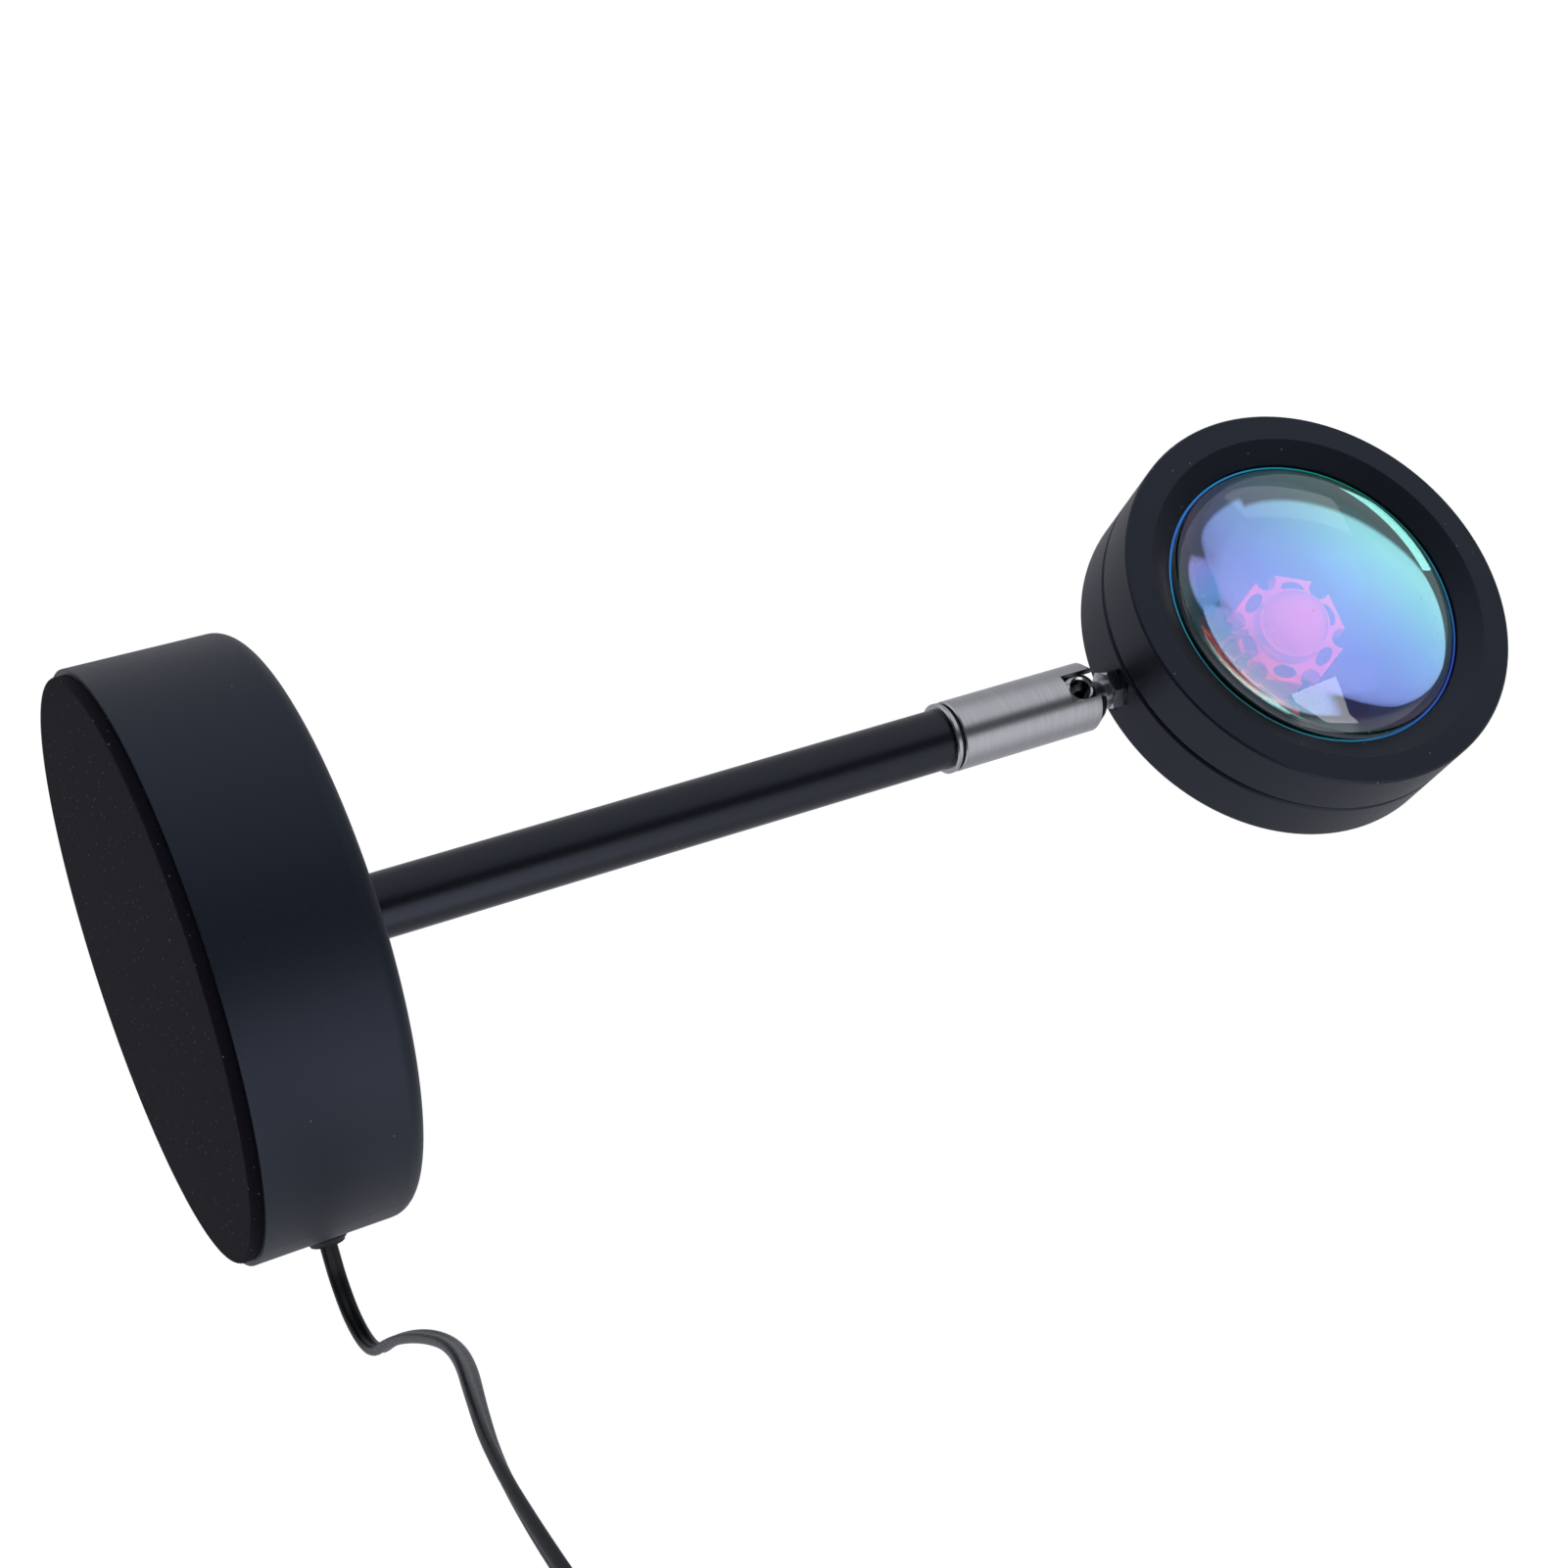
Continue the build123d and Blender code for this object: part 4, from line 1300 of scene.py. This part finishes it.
        # Points close to a corner on both sides bend the spline tightly round it.
        for (x0, z0), (x1, z1) in zip(corners, corners[1:] + corners[:1]):
            loop += [(x0 + (x1 - x0) * share, z0 + (z1 - z0) * share) for share in (0.04, 0.3, 0.7, 0.96)]
        line.points.add(len(loop) - 1)
        for spot, (out, up) in zip(line.points, loop):
            spot.co = (out * MM, up * MM, 0.0, 1.0)
        line.order_u = 3
        line.use_cyclic_u = True
        mesh = mesh_from_curve(curve, "cord_tie_band")
        angle = math.radians(self.turn + self.tie_turn)
        stand_up = Matrix.Rotation(angle, 4, "Z") @ Matrix.Rotation(math.pi / 2, 4, "X")
        mesh.transform(Matrix.Translation((self.middle[0] * MM, self.middle[1] * MM, 0.0)) @ stand_up)
        tie = piece_from("cord_tie_band", mesh, Body.STAND.value, NYLON.build())
        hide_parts("cord_tie")
        return tie


@dataclass
class SubAssembly:
    """CAD nodes that move together.

    Fields:
        finishes: finish of each node, by the node's name.
    """

    finishes: dict[str, AnyFinish] = field(default_factory=dict)

    def build(self, nodes: dict[str, bpy.types.Object]) -> None:
        """Dress the nodes.

        Args:
            nodes: CAD nodes by name.
        """
        for name, finish in self.finishes.items():
            dress(nodes[name], finish.build())


@dataclass
class Stand(SubAssembly):
    """Weighted base, its pad and the stem with what clamps it."""

    finishes: dict[str, AnyFinish] = field(
        default_factory=lambda: {
            "base_shell": LACQUER,
            "base_pad": PadFoam(),
            "base_plate": ZINC,
            "base_weight": IRON,
            "cord_grommet": RUBBER,
            "stem_lead": SHEATH,
            "stem_nipple": ZINC,
            "stem_washer": ZINC,
            "stem_nut": ZINC,
            "stem_tube": TUBE_LACQUER,
            "stem_bush": BRASS,
            "swivel_collar": BrushedNickel(),
            "swivel_washer": NYLON,
            "swivel_post": BRASS,
            "post_nut": BRASS,
        }
    )


@dataclass
class Swivel(SubAssembly):
    """Slotted sleeve with the seat under the ball."""

    finishes: dict[str, AnyFinish] = field(
        default_factory=lambda: {
            "swivel_sleeve": BrushedNickel(),
            "sleeve_bush": BRASS,
            "ball_seat": NYLON,
            "seat_spring": ZINC,
            "seat_ring": ZINC,
        }
    )


@dataclass
class Head(SubAssembly):
    """Ball neck, black housing, lens, colour filter and light source, in millimetres.

    Fields:
        finishes: finish of each node, by the node's name.
        back: from the swivel's axis to the head's back, from which its heights are counted.
        lens_back: height of the lens's flat back.
        lens_shoulder: height of the flat rim round its dome.
        lens_rim: radius of the whole lens.
        lens_foot: radius at which the dome's rounded edge meets the rim.
        dome_edge: radius at which that edge meets the flatter dome.
        dome_rise: height of the flatter dome.
        edge_round: radius of the rounded edge.
        edge_steps: steps along the rounded edge.
        dome_steps: steps from there to the dome's top.
        line_out: radius of the line of painted reflection on the rim.
        line_half: half its width.
        line_up: how far it stands off the rim.
        line_steps: steps round its section.
        segments: steps round the head's axis.
        crease: degrees above which an edge stays sharp.
    """

    finishes: dict[str, AnyFinish] = field(
        default_factory=lambda: {
            "swivel_ball": CHROME,
            "neck_nut": CHROME,
            "neck_inner_nut": ZINC,
            "head_rear_cup": ANODISED,
            "head_front_ring": ANODISED,
            "lens_gasket": RUBBER,
            "colour_filter": ColourFilter(),
            "lens_retainer": ANODISED,
            "thermal_pad": THERMAL,
            "led_board": StarBoard(),
            "led_body": EMITTER_BODY,
            "led_dome": SILICONE,
            "led_leads": WIRE,
        }
    )
    back: float = 6.5
    lens_back: float = 18.2
    lens_shoulder: float = 20.7
    lens_rim: float = 35.2
    lens_foot: float = 31.7
    dome_edge: float = 28.0
    dome_rise: float = 6.0
    edge_round: float = 7.5
    edge_steps: int = 12
    dome_steps: int = 32
    line_out: float = 32.08
    line_half: float = 0.38
    line_up: float = 0.05
    line_steps: int = 8
    segments: int = 160
    crease: float = 30.0

    def build(self, nodes: dict[str, bpy.types.Object]) -> None:
        """Dress the head's nodes, turn its lens and draw the line of painted reflection round it.

        Args:
            nodes: CAD nodes by name.
        """
        super().build(nodes)
        mesh = self.turned("turned_lens", self.lens_profile())
        lens = piece_from("turned_lens", mesh, Body.HEAD.value, LensGlass().build())
        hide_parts("lens")
        # A thin line on the rim, painted with the filter's colours as the lens's edge reflects them.
        mesh = self.turned("lens_edge_painted_reflection", self.line_profile())
        piece_from("lens_edge_painted_reflection", mesh, Body.HEAD.value, PaintedEdgeReflection().build())

    def line_profile(self) -> list[tuple[float, float]]:
        """Draw the section of the painted reflection line, a flat oval.

        Returns:
            Radius and height of each point.
        """
        angles = [2 * math.pi * step / self.line_steps for step in range(self.line_steps + 1)]
        foot = self.lens_shoulder + self.line_up
        return [
            (self.line_out + self.line_half * math.cos(a), foot + self.line_half * (1 + math.sin(a)) / 2)
            for a in angles
        ]

    def lens_profile(self) -> list[tuple[float, float]]:
        """Draw the lens's half section from the middle of its back round to its top.

        Returns:
            Radius and height of each point.
        """
        bulge = (self.dome_edge ** 2 + self.dome_rise ** 2) / (2 * self.dome_rise)
        dome_slope = math.asin(self.dome_edge / bulge)
        round_out = self.dome_edge - self.edge_round * math.sin(dome_slope)
        foot_slope = math.asin((self.lens_foot - round_out) / self.edge_round)
        round_up = self.lens_shoulder - self.edge_round * math.cos(foot_slope)
        top = round_up + self.edge_round * math.cos(dome_slope) + self.dome_rise
        points = [(0.0, self.lens_back), (self.lens_rim, self.lens_back), (self.lens_rim, self.lens_shoulder)]
        for step in range(self.edge_steps + 1):
            slope = foot_slope + (dome_slope - foot_slope) * step / self.edge_steps
            out, up = math.sin(slope), math.cos(slope)
            points.append((round_out + self.edge_round * out, round_up + self.edge_round * up))
        for step in range(1, self.dome_steps + 1):
            slope = dome_slope * (1 - step / self.dome_steps)
            points.append((bulge * math.sin(slope), top - bulge * (1 - math.cos(slope))))
        return points

    def turned(self, name: str, profile: list[tuple[float, float]]) -> bpy.types.Mesh:
        """Turn a half section round the head's axis.

        Args:
            name: name of the mesh.
            profile: radius and height of each point.

        Returns:
            The mesh in place, smooth between its sharp edges.
        """
        shape = bmesh.new()
        spots = [
            shape.verts.new((radius * MM, (self.back - height) * MM, HEAD_AXIS_MM * MM))
            for radius, height in profile
        ]
        for one, other in zip(spots, spots[1:]):
            shape.edges.new((one, other))
        bmesh.ops.spin(
            shape,
            geom=list(shape.verts) + list(shape.edges),
            cent=HEAD_MIDDLE,
            axis=(0.0, 1.0, 0.0),
            angle=2 * math.pi,
            steps=self.segments,
            use_merge=True,
        )
        bmesh.ops.remove_doubles(shape, verts=list(shape.verts), dist=1e-6)
        bmesh.ops.recalc_face_normals(shape, faces=list(shape.faces))
        mesh = bpy.data.meshes.new(name)
        shape.to_mesh(mesh)
        shape.free()
        mesh.shade_smooth()
        mesh.set_sharp_from_angle(angle=math.radians(self.crease))
        return mesh


def main() -> None:
    """Build the lamp's looks in order."""
    logging.basicConfig(level=logging.INFO, format="%(name)s: %(message)s")
    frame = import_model()
    nodes = frame["nodes"]
    Viewpoint().build()
    Cord().build(nodes)
    for assembly in (Stand(), Swivel(), Head()):
        assembly.build(nodes)
    Studio().build(bpy.data.objects["turned_lens"])


if __name__ == "__main__":
    main()
